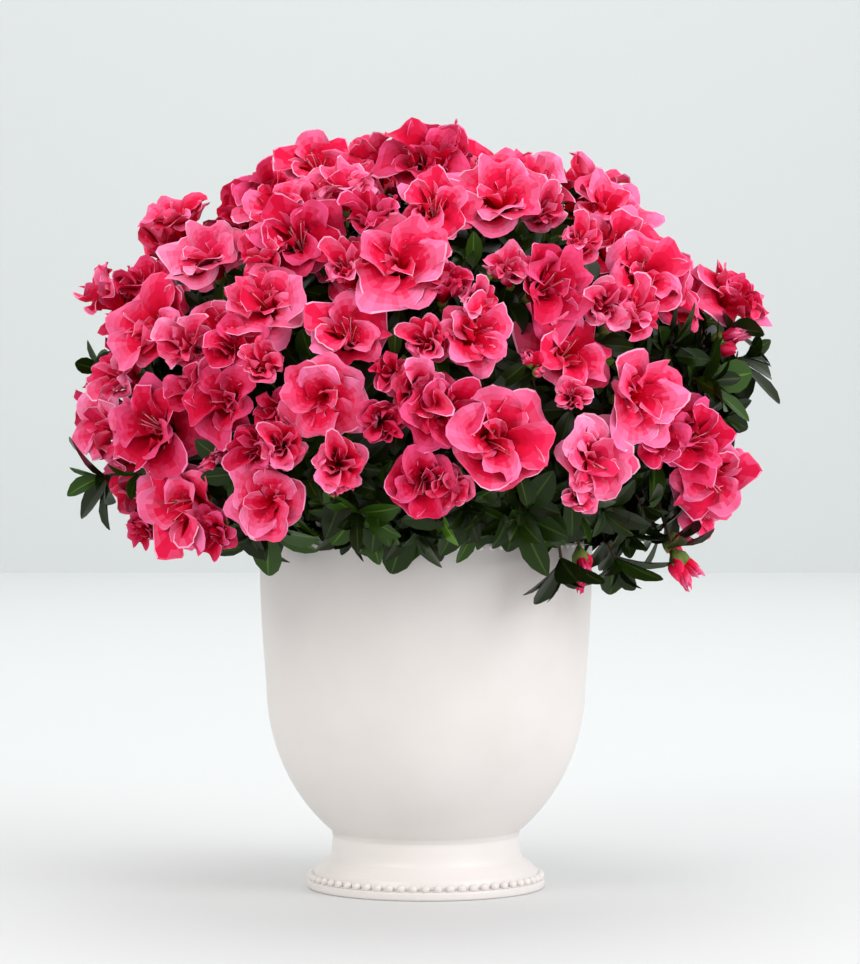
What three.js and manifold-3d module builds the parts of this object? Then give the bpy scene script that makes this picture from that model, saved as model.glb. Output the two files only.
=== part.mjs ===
// A potted azalea shrub in full flower: a dome of pink double blooms and dark leaves, standing in a
// footed white glazed pot. Millimetres, +Z up, front towards -Y, origin at the middle of the foot's underside.
import * as THREE from "three";
import { mergeVertices } from "three/addons/utils/BufferGeometryUtils.js";
import Module from "manifold-3d";

const wasm = await Module();
wasm.setup();

// Driving dimensions
const GAP = 0.3;
const FACET_ALLOWANCE = 0.12;
const FINEST = 0.05;
const MICRON = 0.001;
const UP = new THREE.Vector3(0, 0, 1);
const FRONT = new THREE.Vector3(0, -1, 0);

const POT = {
  height: 192,
  rimRadius: 90,
  waistRadius: 86.5,
  waistHeight: 110,
  bowlDepth: 98,
  wall: 6,
  floorHeight: 38,
  jointHeight: 29.5,
  neckRadius: 50,
  neckFoot: 53,
  stepHeight: 15.5,
  footRadius: 64.5,
  footEdge: 4.6,
  bevel: 1,
  facets: 28,
};
// The rows of beads round the foot and the rim, each drawn here as one round moulding.
const BEADS = { radius: 2.2, footInset: 1.6, footLift: 2.2, rimInset: 0.6, rimDrop: 6 };
const WALL = { rings: 6, rise: 1.7, rimBand: 12, fullWidthBelowRim: 15 };
const HOLLOW = { rings: 4, rise: 1.5, reach: 0.93, floorInset: 4 };

const SOIL = { top: 178, edgeDrop: 3, edgeInset: 1.2, wallGap: 0.5, crownRadius: 24, brow: 1 };

// The trunk's foot spreads into as many low roots as it has lobes.
const TRUNK = { radius: 9.5, taper: 2.2, height: 44, lean: 3, sides: 9, rings: 5 };
const FLARE = { spread: 15, fade: 5, lobes: 3, lobeDepth: 0.25 };

const BOUGH = { baseRadius: 4.3, tipRadius: 2.9, sides: 5, steps: 3, reach: 0.58, rise: 9, bend: 0.5 };
const CROWN_BOUGH = { spread: 58, rise: -9, bend: 0.4, belowFork: 12 };

const STEM = { baseRadius: 2.6, tipRadius: 1.9, sides: 3, steps: 2, reach: 0.62 };
const BERTH = { step: 10, start: 12, sweep: 0.6 };
const TWIG = { baseRadius: 1.2, tipRadius: 1.0, sides: 3 };
const CORE = { radius: 28, flat: 0.5, sizes: [1, 0.9, 0.8, 0.7, 0.6, 0.5, 0.4, 0.3] };

// The crown's outer surface is a squared dome about this middle point.
const CROWN = { x: -4, y: 0, z: 255, reach: 187, rise: 156, drop: 125, power: 2.2 };

const BLOOM = {
  radius: 27,
  level: 0.96,
  unevenness: 0.01,
  sizes: [0.86, 1],
  facets: 9,
  nod: 0.16,
  show: 0.12,
  showAside: 0.45,
  scatter: 0.2,
  depth: 0.42,
  seatAside: 0.2,
  seatUp: 0.13,
};
// Half of a bloom's section, in bloom radii: its point, its petals' edge, its throat and its ruffled middle.
const BLOOM_SECTION = [
  [0, -0.1],
  [1, 0.46],
  [0.6, 0.34],
  [0.5, 0.58],
  [0, 0.22],
];
const PETAL = { from: 0.4, edge: 0.9, cleft: 0.9, wave: 0.08, lift: 0.03 };
// A bloom that would touch another is made smaller, in these steps.
const BLOOM_STEPS = [1, 0.93, 0.86, 0.79, 0.72, 0.64, 0.56];

const BUD = { length: 17, radius: 4.6, level: 0.94, facets: 5, depth: 0.5, seatUp: 0.2, scatter: 0.3 };
const BUD_SECTION = [
  [0, -0.1],
  [1, 0.42],
  [0.7, 0.78],
  [0, 1],
];

const LEAF = { length: 43, width: 18, thickness: 1.1, widest: 0.56, fold: 0.14, step: 1.2 };
const LEAF_CHANCE = { turn: 18, tilt: 12, sizes: [0.85, 1.12] };
const GREEN = { level: 0.84, unevenness: [-0.02, 0.03], scatter: 0.3, depth: 8 };
const FRINGE = { radius: 119, height: 198, spread: 0.3, unevenness: 3, dip: 0.85, scatter: 0.2, depth: 8 };
// The leaves of each kind of shoot: how many, how far they open from its axis, and where the first one roots.
const WHORLS = {
  bloom: { leaves: 1, open: 80, root: 7 },
  bud: { leaves: 3, open: 70, root: 5 },
  green: { leaves: 4, open: 62, root: 1.5 },
  fringe: { leaves: 4, open: 56, root: 1.5 },
};

// The masses of foliage that each bough carries. at: where the leading bloom is, in degrees round from the
// front (towards +X) and in height. size: that bloom's, where 0 is none. blooms, buds and tips: the clock
// angle (0 right, 90 up) and distance of each flower, bud and leafy tip beside the leading bloom, with how
// far back a flower is set, or the level of the crown that a leafy tip reaches. level: the leading bloom's.
const MASSES = {
  left: {
    skirt: {
      at: [-48, 206],
      size: 1.02,
      blooms: [[198, 98], [176, 52, 0.1]],
      tips: [[172, 98, 0.97], [310, 40]],
    },
    waist: { at: [-52, 249], size: 0.98, blooms: [[181, 99], [182, 48, 0.09]], tips: [[162, 126, 0.94]] },
    shoulder: { at: [-55, 304], size: 1.04, blooms: [[162, 94], [150, 46, 0.1]], tips: [[225, 48]] },
  },
  front_left: {
    skirt: { at: [-27, 210], size: 0.86, tips: [[180, 36], [10, 44]] },
    waist: { at: [-16, 265], size: 0.94, blooms: [[180, 58]], tips: [[265, 40], [85, 40]] },
    shoulder: { at: [-28, 314], size: 0.88, blooms: [[345, 50, 0.04]], tips: [[185, 46], [250, 36]] },
  },
  front: {
    skirt: { at: [1, 222], size: 0.78, buds: [[178, 40]], tips: [[315, 38], [225, 38]] },
    waist: { at: [13, 244], size: 1.08, blooms: [[150, 48, 0.02]], tips: [[50, 44]] },
    shoulder: { at: [-3, 335], size: 1.08, blooms: [[313, 58]], tips: [[18, 44], [265, 50]] },
  },
  front_right: {
    skirt: { at: [31, 233], size: 0.9, buds: [[126, 58]], tips: [[290, 40], [225, 40]] },
    waist: { at: [41, 266], size: 1, blooms: [[148, 46, 0.07]], tips: [[100, 36]] },
    shoulder: { at: [24, 322], size: 0.94, tips: [[245, 36], [90, 40], [350, 44]] },
  },
  right: {
    skirt: {
      at: [66, 221],
      size: 0.94,
      blooms: [[125, 42, 0.08], [325, 50]],
      buds: [[290, 52]],
      tips: [[240, 46]],
    },
    waist: {
      at: [68, 276],
      size: 0,
      buds: [[37, 36]],
      tips: [[0, 0, 0.94], [40, 50, 0.96], [335, 46, 0.92], [150, 30]],
    },
    shoulder: { at: [84, 322], size: 0.9, level: 1.02, buds: [[232, 30]], tips: [[265, 34, 0.98]] },
  },
  crown_left: {
    upper_outer: { at: [-47, 342], size: 0.94, blooms: [[158, 100], [140, 52, 0.1]], tips: [[95, 38]] },
    upper: { at: [-25, 349], size: 0.88, blooms: [[350, 30, 0.13]], tips: [[75, 40]] },
    top: { at: [-51, 396], size: 0.86, blooms: [[245, 42, -0.01], [330, 44, 0.1]], tips: [[290, 30]] },
  },
  crown_right: {
    upper_outer: { at: [49, 331], size: 0.96, blooms: [[63, 44, 0.07], [10, 58, 0.05]], tips: [[165, 44]] },
    top: { at: [21, 371], size: 1.06, tips: [[235, 40], [340, 44]] },
    top_outer: { at: [72, 379], size: 0.92, blooms: [[130, 48], [330, 46, 0.05]], tips: [[200, 34]] },
  },
  crown_back: {
    top_front: { at: [3, 391], size: 0.94, tips: [[200, 36]] },
    top_left: { at: [-118, 376], size: 0.95, blooms: [[20, 50, 0.06], [165, 48, 0.06]], tips: [[270, 36]] },
    top: { at: [178, 390], size: 0.95, blooms: [[205, 52]], tips: [[245, 38]] },
    summit: { at: [60, 402], size: 0.95, blooms: [[88, 66, 0.02], [150, 56, 0.04]], tips: [[30, 44]] },
    top_right: { at: [118, 374], size: 0.95, blooms: [[340, 46, 0.04], [170, 52, 0.06]], tips: [[260, 36]] },
  },
};

// The back of the crown, which the photograph hides, goes on in two even tiers.
const BACK = { first: 107, step: 36.5, count: 5, boughTip: 260, size: 0.95, fringe: [[-10, 3], [9, 0]] };
const BACK_TIERS = {
  lower: { height: 214, blooms: [[10, 54, 0.08], [88, 45, 0.08], [42, 76]], tips: [[325, 40]] },
  upper: { height: 304, blooms: [[10, 54, 0.08], [80, 47, 0.06]], tips: [[225, 40]] },
};

// The boughs: degrees round from the front, the height of the tip, and the level on the trunk it leaves from.
const SIDE_BOUGHS = {
  left: [-66, 256, 0],
  front_left: [-26, 262, 1],
  front: [4, 262, 2],
  front_right: [34, 264, 0],
  right: [72, 262, 1],
};
const BACK_BOUGH_LEVELS = [2, 0, 1, 2, 1];
const BOUGH_LEVELS = [10.5, 19.5, 28.5];
const CROWN_BOUGHS = { crown_left: [-45, 322], crown_right: [48, 324], crown_back: [165, 326] };

// The drooping leafy tips of the skirt: degrees round from the front, and how far below the rest each hangs.
const SKIRT_FRINGE = {
  left: [[-84, 0], [-60, 0]],
  front_left: [[-34, 0], [-17, 6]],
  front: [[-3, 4], [14, 2]],
  front_right: [[37, 26], [57, 26]],
  right: [[66, 8], [88, 4]],
};

// Seeded numbers, the same sequence each run.
class Chance {
  static span = 2 ** 32;
  constructor(seed) {
    this.state = (seed * 7919 + 104729) % Chance.span;
    this.next();
  }
  next() {
    this.state = (this.state * 1664525 + 1013904223) % Chance.span;
    return this.state / Chance.span;
  }
  between(low, high) {
    return low + (high - low) * this.next();
  }
}
const FLOWER_SEEDS = 1e6;
const LEAF_SEED = 101;

const rad = THREE.MathUtils.degToRad;
const vector = (x, y, z) => new THREE.Vector3(x, y, z);

// A closed geometry as a solid, with its faces turned to point out.
function solidFrom(geometry) {
  const bare = geometry.index ? geometry.toNonIndexed() : geometry.clone();
  bare.deleteAttribute("normal");
  bare.deleteAttribute("uv");
  const merged = mergeVertices(bare, 1e-4);
  const corners = [];
  for (let i = 0; i < merged.index.count; i += 3) {
    const [a, b, c] = [0, 1, 2].map((k) => merged.index.getX(i + k));
    if (a !== b && b !== c && c !== a) corners.push(a, b, c);
  }
  const make = (order) =>
    new wasm.Manifold(
      new wasm.Mesh({
        numProp: 3,
        vertProperties: merged.attributes.position.array,
        triVerts: new Uint32Array(order),
      }),
    );
  const made = make(corners);
  if (made.volume() > 0) return made;
  const turned = [];
  for (let i = 0; i < corners.length; i += 3) turned.push(corners[i], corners[i + 2], corners[i + 1]);
  return make(turned);
}

function geometryFrom(solid) {
  const mesh = solid.getMesh();
  const geometry = new THREE.BufferGeometry();
  geometry.setAttribute("position", new THREE.BufferAttribute(mesh.vertProperties, mesh.numProp));
  geometry.setIndex(new THREE.BufferAttribute(mesh.triVerts, 1));
  return geometry;
}

// A closed tapering limb from the first point to the last, drawn towards the middle one.
function limb(points, startRadius, endRadius, sides, steps) {
  const curve = new THREE.QuadraticBezierCurve3(...points);
  const frames = curve.computeFrenetFrames(steps);
  const tube = new THREE.CylinderGeometry(1, 1, 1, sides, steps);
  const position = tube.attributes.position;
  for (let i = 0; i < position.count; i++) {
    const t = position.getY(i) + 0.5;
    const ring = Math.round(t * steps);
    const radius = THREE.MathUtils.lerp(startRadius, endRadius, t);
    const place = curve.getPoint(t);
    place.addScaledVector(frames.normals[ring], position.getX(i) * radius);
    place.addScaledVector(frames.binormals[ring], position.getZ(i) * radius);
    position.setXYZ(i, place.x, place.y, place.z);
  }
  return solidFrom(tube);
}

// A straight tapering piece between two points.
function cone([from, to], startRadius, endRadius, sides) {
  const length = from.distanceTo(to);
  const way = to.clone().sub(from).normalize();
  const geometry = new THREE.CylinderGeometry(endRadius, startRadius, length, sides, 1);
  geometry.translate(0, length / 2, 0);
  geometry.applyQuaternion(new THREE.Quaternion().setFromUnitVectors(vector(0, 1, 0), way));
  geometry.translate(from.x, from.y, from.z);
  return solidFrom(geometry);
}

// Points given as [radius, height] pairs, turned about the Z axis.
function turned(profile, facets) {
  const lathe = new THREE.LatheGeometry(
    profile.map(([r, z]) => new THREE.Vector2(r, z)),
    facets,
  );
  lathe.rotateX(Math.PI / 2);
  return solidFrom(lathe);
}

// The pot: a beaded foot plate, a short neck, a deep bowl and a beaded rim.
function bowlRadius(z) {
  const { waistRadius, waistHeight, bowlDepth, rimRadius, height } = POT;
  if (z < waistHeight) return waistRadius * Math.sqrt(1 - ((waistHeight - z) / bowlDepth) ** 2);
  const share = Math.min(1, (z - waistHeight) / (height - WALL.fullWidthBelowRim - waistHeight));
  return waistRadius + (rimRadius - waistRadius) * Math.sin((share * Math.PI) / 2);
}

function bead(radius, z) {
  return [-60, 0, 60].map((turn) => {
    const angle = rad(turn);
    return [radius + BEADS.radius * Math.cos(angle), z + BEADS.radius * Math.sin(angle)];
  });
}

function potOutside() {
  const p = POT;
  const wall = [];
  for (let k = 0; k <= WALL.rings; k++) {
    const share = (k / WALL.rings) ** WALL.rise;
    const z = p.jointHeight + (p.height - WALL.rimBand - p.jointHeight) * share;
    wall.push([bowlRadius(z), z]);
  }
  return [
    [0, 0],
    [p.footRadius - p.bevel, 0],
    [p.footRadius, p.bevel],
    [p.footRadius, p.footEdge],
    ...bead(p.footRadius - BEADS.footInset, p.footEdge + BEADS.footLift),
    [p.footRadius - BEADS.footInset - BEADS.radius, p.footEdge + BEADS.footLift + BEADS.radius],
    [p.neckFoot, p.stepHeight],
    [p.neckRadius, (p.stepHeight + p.jointHeight) / 2],
    ...wall,
    ...bead(p.rimRadius - BEADS.rimInset, p.height - BEADS.rimDrop),
    [p.rimRadius - p.bevel, p.height - 2 * p.bevel],
    [p.rimRadius - 2 * p.bevel, p.height],
  ];
}

function potInside(clearance) {
  const { height, floorHeight, wall } = POT;
  const points = [];
  for (let k = HOLLOW.rings; k >= 1; k--) {
    const z = floorHeight + (height - floorHeight) * (k / HOLLOW.rings) ** HOLLOW.rise * HOLLOW.reach;
    points.push([bowlRadius(z) - wall - clearance, z]);
  }
  points.push([bowlRadius(floorHeight) - wall - HOLLOW.floorInset - clearance, floorHeight + clearance]);
  return points;
}

function potSolid() {
  const lip = [POT.rimRadius - POT.wall, POT.height];
  return turned([...potOutside(), lip, ...potInside(0), [0, POT.floorHeight]], POT.facets);
}

// The potting mix, its mound cut flat under the trunk.
function soilSolid() {
  const edgeHeight = SOIL.top - SOIL.edgeDrop;
  const side = potInside(SOIL.wallGap).filter(([, z]) => z < edgeHeight - SOIL.edgeDrop);
  const profile = [
    [0, POT.floorHeight + GAP],
    ...side.reverse(),
    [bowlRadius(edgeHeight) - POT.wall - SOIL.edgeInset, edgeHeight],
    [SOIL.crownRadius * 2, SOIL.top - SOIL.brow],
    [SOIL.crownRadius, SOIL.top],
    [0, SOIL.top],
  ];
  return turned(profile, POT.facets);
}

// The trunk: a short leaning stem with a root flare, from its flat cut on the soil to its fork.
function trunkSolid(extra) {
  const base = SOIL.top + GAP - extra;
  const tube = new THREE.CylinderGeometry(1, 1, 1, TRUNK.sides, TRUNK.rings);
  const position = tube.attributes.position;
  for (let i = 0; i < position.count; i++) {
    const t = position.getY(i) + 0.5;
    const angle = Math.atan2(position.getZ(i), position.getX(i));
    const lobe = 1 - FLARE.lobeDepth * (1 - Math.cos(FLARE.lobes * angle));
    const root = FLARE.spread * (1 - t) ** FLARE.fade * lobe;
    const across = Math.hypot(position.getX(i), position.getZ(i));
    const radius = across * (TRUNK.radius - TRUNK.taper * t + root + extra);
    const height = base + t * (TRUNK.height + 2 * extra);
    position.setXYZ(i, radius * Math.cos(angle) + TRUNK.lean * t, radius * Math.sin(angle), height);
  }
  return solidFrom(tube);
}

// The crown's outer surface: how far out a point lies, 1 being on the surface.
function crownLevel(p) {
  const up = p.z - CROWN.z;
  const flat = Math.hypot(p.x - CROWN.x, p.y - CROWN.y) / CROWN.reach;
  const tall = Math.abs(up) / (up > 0 ? CROWN.rise : CROWN.drop);
  return (flat ** CROWN.power + tall ** CROWN.power) ** (1 / CROWN.power);
}

function onLevel(p, level) {
  const middle = vector(CROWN.x, CROWN.y, CROWN.z);
  return p.clone().sub(middle).multiplyScalar(level / crownLevel(p)).add(middle);
}

function roundFromFront(azimuth, radius, height) {
  return vector(CROWN.x + radius * Math.sin(rad(azimuth)), CROWN.y - radius * Math.cos(rad(azimuth)), height);
}

function crownPoint([azimuth, height], level) {
  const up = height - CROWN.z;
  const tall = Math.abs(up) / (up > 0 ? CROWN.rise : CROWN.drop);
  const flat = Math.max(0, level ** CROWN.power - tall ** CROWN.power) ** (1 / CROWN.power);
  return roundFromFront(azimuth, CROWN.reach * flat, height);
}

function outward(p) {
  const up = p.z - CROWN.z;
  const half = up > 0 ? CROWN.rise : CROWN.drop;
  const sideways = vector(p.x - CROWN.x, p.y - CROWN.y, 0);
  const steepness = CROWN.power - 1;
  const flat = (sideways.length() / CROWN.reach) ** steepness / CROWN.reach;
  const slope = sideways.normalize().multiplyScalar(flat);
  slope.z = (Math.sign(up) * (Math.abs(up) / half) ** steepness) / half;
  return slope.normalize();
}

// The point on the crown that lies at a clock angle and distance beside another.
function beside(p, clock, distance, level) {
  const normal = outward(p);
  const right = vector(-(p.y - CROWN.y), p.x - CROWN.x, 0).normalize();
  const above = normal.clone().cross(right);
  const moved = p.clone();
  moved.addScaledVector(right, Math.cos(rad(clock)) * distance);
  moved.addScaledVector(above, Math.sin(rad(clock)) * distance);
  return onLevel(moved, level);
}

// A direction turned a little at random.
function scattered(direction, amount, chance) {
  const shift = vector(chance.between(-1, 1), chance.between(-1, 1), chance.between(-1, 1));
  return direction.clone().addScaledVector(shift, amount).normalize();
}

// Which way a bloom opens: out from the crown, a little up, and on the front half round to the front.
function bloomFacing(place, azimuth, chance) {
  const lit = outward(place).addScaledVector(UP, BLOOM.nod);
  const aside = Math.abs(Math.sin(rad(azimuth)));
  if (Math.abs(azimuth) < 90) lit.addScaledVector(FRONT, BLOOM.show + aside * BLOOM.showAside);
  return scattered(lit, BLOOM.scatter, chance);
}

// The shoots of one mass, by its seeded rule: blooms, buds, leafy tips and drooping tips.
function shootsOf(mass, seed) {
  const chance = new Chance(seed);
  const [azimuth] = mass.at;
  const lead = crownPoint(mass.at, mass.level ?? BLOOM.level);
  const shoots = [];
  const bloom = (place, size) => {
    const facing = bloomFacing(place, azimuth, chance);
    shoots.push({ kind: "bloom", place, facing, radius: BLOOM.radius * size });
  };
  if (mass.size > 0) bloom(lead, mass.size);
  for (const [clock, distance, back = 0] of mass.blooms ?? []) {
    const level = BLOOM.level - back + chance.between(-BLOOM.unevenness, BLOOM.unevenness);
    bloom(beside(lead, clock, distance, level), chance.between(...BLOOM.sizes));
  }
  for (const [clock, distance] of mass.buds ?? []) {
    const place = beside(lead, clock, distance, BUD.level);
    shoots.push({ kind: "bud", place, facing: scattered(outward(place), BUD.scatter, chance) });
  }
  for (const [clock, distance, level = GREEN.level] of mass.tips) {
    const place = beside(lead, clock, distance, level + chance.between(...GREEN.unevenness));
    shoots.push({ kind: "green", place, facing: scattered(outward(place), GREEN.scatter, chance) });
  }
  for (const [turn, hang] of mass.fringe) {
    const height = FRINGE.height - hang + chance.between(-FRINGE.unevenness, FRINGE.unevenness);
    const place = roundFromFront(turn, FRINGE.radius + hang * FRINGE.spread, height);
    const facing = outward(place).addScaledVector(UP, -FRINGE.dip);
    shoots.push({ kind: "fringe", place, facing: scattered(facing, FRINGE.scatter, chance) });
  }
  return shoots;
}

// The foot of a shoot, under its bloom, bud or leaves.
function shootFoot({ kind, place, facing, radius }) {
  const depths = {
    bloom: radius * BLOOM.depth,
    bud: BUD.length * BUD.depth,
    green: GREEN.depth,
    fringe: FRINGE.depth,
  };
  return place.clone().addScaledVector(facing, -depths[kind]);
}

// The way across a shoot's axis that lies nearest to where its twig comes from.
function inwardSide(shoot, from) {
  const side = from.clone().sub(shootFoot(shoot));
  return side.addScaledVector(shoot.facing, -side.dot(shoot.facing)).normalize();
}

// The twig of a shoot: from inside the stem to inside its bloom or bud, or to its leafy tip.
function twigPath(shoot, from) {
  const end = shootFoot(shoot);
  if (shoot.kind === "bloom") {
    end.addScaledVector(inwardSide(shoot, from), shoot.radius * BLOOM.seatAside);
    end.addScaledVector(shoot.facing, shoot.radius * BLOOM.seatUp);
  } else if (shoot.kind === "bud") {
    end.addScaledVector(shoot.facing, BUD.length * BUD.seatUp);
  }
  return [from, end];
}

// An open double bloom: a funnel of waved petals round a ring of ruffled inner ones.
function bloomSolid(shoot, scale, chance) {
  const radius = shoot.radius * scale;
  const lathe = new THREE.LatheGeometry(
    BLOOM_SECTION.map(([r, y]) => new THREE.Vector2(r, y)),
    BLOOM.facets,
  );
  const side = inwardSide(shoot, shoot.twig[0]).applyAxisAngle(shoot.facing, Math.PI / BLOOM.facets);
  const across = side.clone().cross(shoot.facing);
  const foot = shootFoot(shoot);
  const waves = Array.from({ length: BLOOM.facets }, () => chance.between(-PETAL.wave, PETAL.wave));
  const position = lathe.attributes.position;
  for (let i = 0; i < position.count; i++) {
    const [x, y, z] = [position.getX(i), position.getY(i), position.getZ(i)];
    const flat = Math.hypot(x, z);
    const turn = Math.round((Math.atan2(z, x) / (2 * Math.PI)) * BLOOM.facets);
    const petal = (turn + BLOOM.facets) % BLOOM.facets;
    const reach = petal % 2 && flat > PETAL.edge ? PETAL.cleft * radius : radius;
    const lift = flat > PETAL.from ? waves[petal] + (petal % 2 ? -PETAL.lift : PETAL.lift) : 0;
    const place = foot.clone().addScaledVector(side, x * reach);
    place.addScaledVector(across, z * reach).addScaledVector(shoot.facing, (y + lift) * radius);
    position.setXYZ(i, place.x, place.y, place.z);
  }
  return solidFrom(lathe);
}

function budSolid(shoot) {
  const lathe = new THREE.LatheGeometry(
    BUD_SECTION.map(([r, y]) => new THREE.Vector2(r * BUD.radius, y * BUD.length)),
    BUD.facets,
  );
  lathe.applyQuaternion(new THREE.Quaternion().setFromUnitVectors(vector(0, 1, 0), shoot.facing));
  const foot = shootFoot(shoot);
  lathe.translate(foot.x, foot.y, foot.z);
  return solidFrom(lathe);
}

// A leaf of eight faces: its root at the foot, its blade out along the given way, folded at the rib.
function leafSolid({ foot, way, upper, length, width }) {
  const blade = new THREE.OctahedronGeometry(1);
  const across = way.clone().cross(upper).normalize();
  const top = across.clone().cross(way).normalize();
  const position = blade.attributes.position;
  for (let i = 0; i < position.count; i++) {
    const [x, y, z] = [position.getX(i), position.getY(i), position.getZ(i)];
    const ends = { [-1]: 0, 1: 1 };
    const along = ends[Math.round(x)] ?? LEAF.widest;
    const place = foot.clone().addScaledVector(way, along * length);
    place.addScaledVector(across, (y * width) / 2);
    place.addScaledVector(top, z * LEAF.thickness + Math.abs(y) * LEAF.fold * width);
    position.setXYZ(i, place.x, place.y, place.z);
  }
  return solidFrom(blade);
}

// The leaves of one shoot: a whorl about its axis, rooted one by one along the end of its twig.
function leavesOf(shoot, chance) {
  const whorl = WHORLS[shoot.kind];
  const axis = shoot.facing;
  const [twigFoot, twigEnd] = shoot.twig;
  const level = Math.abs(axis.z) > 0.9 ? vector(1, 0, 0) : UP;
  const right = axis.clone().cross(level).normalize();
  const above = right.clone().cross(axis).normalize();
  const back = twigFoot.clone().sub(twigEnd).normalize();
  const start = chance.between(0, 360);
  const leaves = [];
  for (let k = 0; k < whorl.leaves; k++) {
    const foot = twigEnd.clone().addScaledVector(back, whorl.root + k * LEAF.step);
    const clock = rad(start + (k * 360) / whorl.leaves + chance.between(-LEAF_CHANCE.turn, LEAF_CHANCE.turn));
    const open = rad(whorl.open + chance.between(-LEAF_CHANCE.tilt, LEAF_CHANCE.tilt));
    const sideways = right.clone().multiplyScalar(Math.cos(clock)).addScaledVector(above, Math.sin(clock));
    const way = axis.clone().multiplyScalar(Math.cos(open)).addScaledVector(sideways, Math.sin(open)).normalize();
    const size = chance.between(...LEAF_CHANCE.sizes);
    leaves.push({ foot, way, upper: axis, length: LEAF.length * size, width: LEAF.width * size });
  }
  return leaves;
}

// What is already in place, so that each mass keeps to its own space.
const placed = [];

function near(a, b, margin) {
  return [0, 1, 2].every((k) => a.min[k] - margin < b.max[k] && b.min[k] - margin < a.max[k]);
}

// A piece is left out where it would come within the gap of anything that is no friend of it.
function clear(solid, isFriend) {
  const box = solid.boundingBox();
  const far = (other) => !near(box, other.box, 1) || solid.minGap(other.solid, 1) > GAP;
  return placed.every((other) => isFriend(other) || far(other));
}

function place(solid, kind, mass, shoot) {
  placed.push({ solid, kind, mass, shoot, box: solid.boundingBox() });
  return solid;
}

// The boughs: from inside the trunk, over or under a bend, to the tip.
function boughTip({ azimuth, tip, crown }) {
  return roundFromFront(azimuth, crown ? CROWN_BOUGH.spread : CROWN.reach * BOUGH.reach, tip);
}

function boughPath(bough) {
  const tip = boughTip(bough);
  const form = bough.crown ? CROWN_BOUGH : BOUGH;
  const start = vector(TRUNK.lean / 2, 0, bough.start);
  const bend = start.clone().lerp(tip, form.bend);
  bend.z += form.rise;
  return [start, bend, tip];
}

// A bough, or that bough grown by an extra thickness, which a stem is cut back from.
function boughSolid(bough, extra) {
  const [start, bend, tip] = boughPath(bough);
  const past = tip.clone().addScaledVector(tip.clone().sub(bend).normalize(), extra);
  const { baseRadius, tipRadius, sides, steps } = BOUGH;
  return limb([start, bend, past], baseRadius + extra, tipRadius + extra, sides, steps);
}

function allBoughs() {
  const boughs = [];
  for (const [name, [azimuth, tip, level]] of Object.entries(SIDE_BOUGHS)) {
    boughs.push({ name, azimuth, tip, start: SOIL.top + BOUGH_LEVELS[level] });
  }
  BACK_BOUGH_LEVELS.forEach((level, k) => {
    const azimuth = BACK.first + k * BACK.step;
    const start = SOIL.top + BOUGH_LEVELS[level];
    boughs.push({ name: `back_${k + 1}`, azimuth, tip: BACK.boughTip, start });
  });
  for (const [name, [azimuth, tip]] of Object.entries(CROWN_BOUGHS)) {
    boughs.push({ name, azimuth, tip, start: SOIL.top + TRUNK.height - CROWN_BOUGH.belowFork, crown: true });
  }
  return boughs;
}

function allMasses() {
  const masses = [];
  for (const [bough, tiers] of Object.entries(MASSES)) {
    for (const [tier, plan] of Object.entries(tiers)) {
      masses.push({ ...plan, bough, tier, fringe: tier === "skirt" ? SKIRT_FRINGE[bough] : [] });
    }
  }
  for (let k = 0; k < BACK.count; k++) {
    const azimuth = BACK.first + k * BACK.step;
    for (const [tier, plan] of Object.entries(BACK_TIERS)) {
      const fringe = tier === "lower" ? BACK.fringe.map(([turn, hang]) => [azimuth + turn, hang]) : [];
      const at = [azimuth, plan.height];
      masses.push({ ...plan, bough: `back_${k + 1}`, tier, at, size: BACK.size, fringe });
    }
  }
  return masses;
}

// Where the stem of a mass ends: part of the way from the bough's tip to the middle of its shoots.
function forkOf(tip, shoots) {
  const middle = shoots.reduce((sum, shoot) => sum.add(shootFoot(shoot)), vector(0, 0, 0));
  return tip.clone().lerp(middle.divideScalar(shoots.length), STEM.reach);
}

// The stem of a mass: out of the bough, a berth further back for each stem after the first, to the fork.
function stemPath(bough, berth, fork) {
  const [, bend, tip] = boughPath(bough);
  const back = bend.clone().sub(tip).normalize();
  const start = tip.clone().addScaledVector(back, berth * BERTH.step);
  const way = fork.clone().sub(start).normalize();
  if (berth > 0) way.addScaledVector(back, -BERTH.sweep * way.dot(back)).normalize();
  return [start, start.clone().addScaledVector(way, BERTH.start), fork];
}

// The dense inner growth of a mass: a flat-faced lens round its fork, lying along the crown.
function coreSolid(fork, size) {
  const lens = new THREE.IcosahedronGeometry(CORE.radius * size);
  lens.scale(1, CORE.flat, 1);
  lens.applyQuaternion(new THREE.Quaternion().setFromUnitVectors(vector(0, 1, 0), outward(fork)));
  lens.translate(fork.x, fork.y, fork.z);
  return solidFrom(lens);
}

const colours = {
  glaze: { color: 0xe9e4de, roughness: 0.22, metalness: 0 },
  mix: { color: 0x3a2a1e, roughness: 0.95, metalness: 0 },
  bark: { color: 0x5b4636, roughness: 0.85, metalness: 0 },
  blossom: { color: 0xe0355f, roughness: 0.6, metalness: 0 },
};
const finishes = Object.fromEntries(
  Object.entries(colours).map(([name, look]) => [name, new THREE.MeshStandardMaterial(look)]),
);

const shrub = new THREE.Group();
function add(name, solid, finish) {
  const mesh = new THREE.Mesh(geometryFrom(solid), finishes[finish]);
  mesh.name = name;
  shrub.add(mesh);
}

add("pot", place(potSolid(), "vessel"), "glaze");
add("potting_mix", place(soilSolid(), "filling"), "mix");
add("trunk", place(trunkSolid(0), "limb"), "bark");

const trunkHull = trunkSolid(GAP);
const boughs = new Map();
for (const bough of allBoughs()) {
  const solid = boughSolid(bough, 0).subtract(trunkHull);
  boughs.set(bough.name, bough);
  add(`bough_${bough.name}`, place(solid, "limb"), "bark");
}

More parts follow.
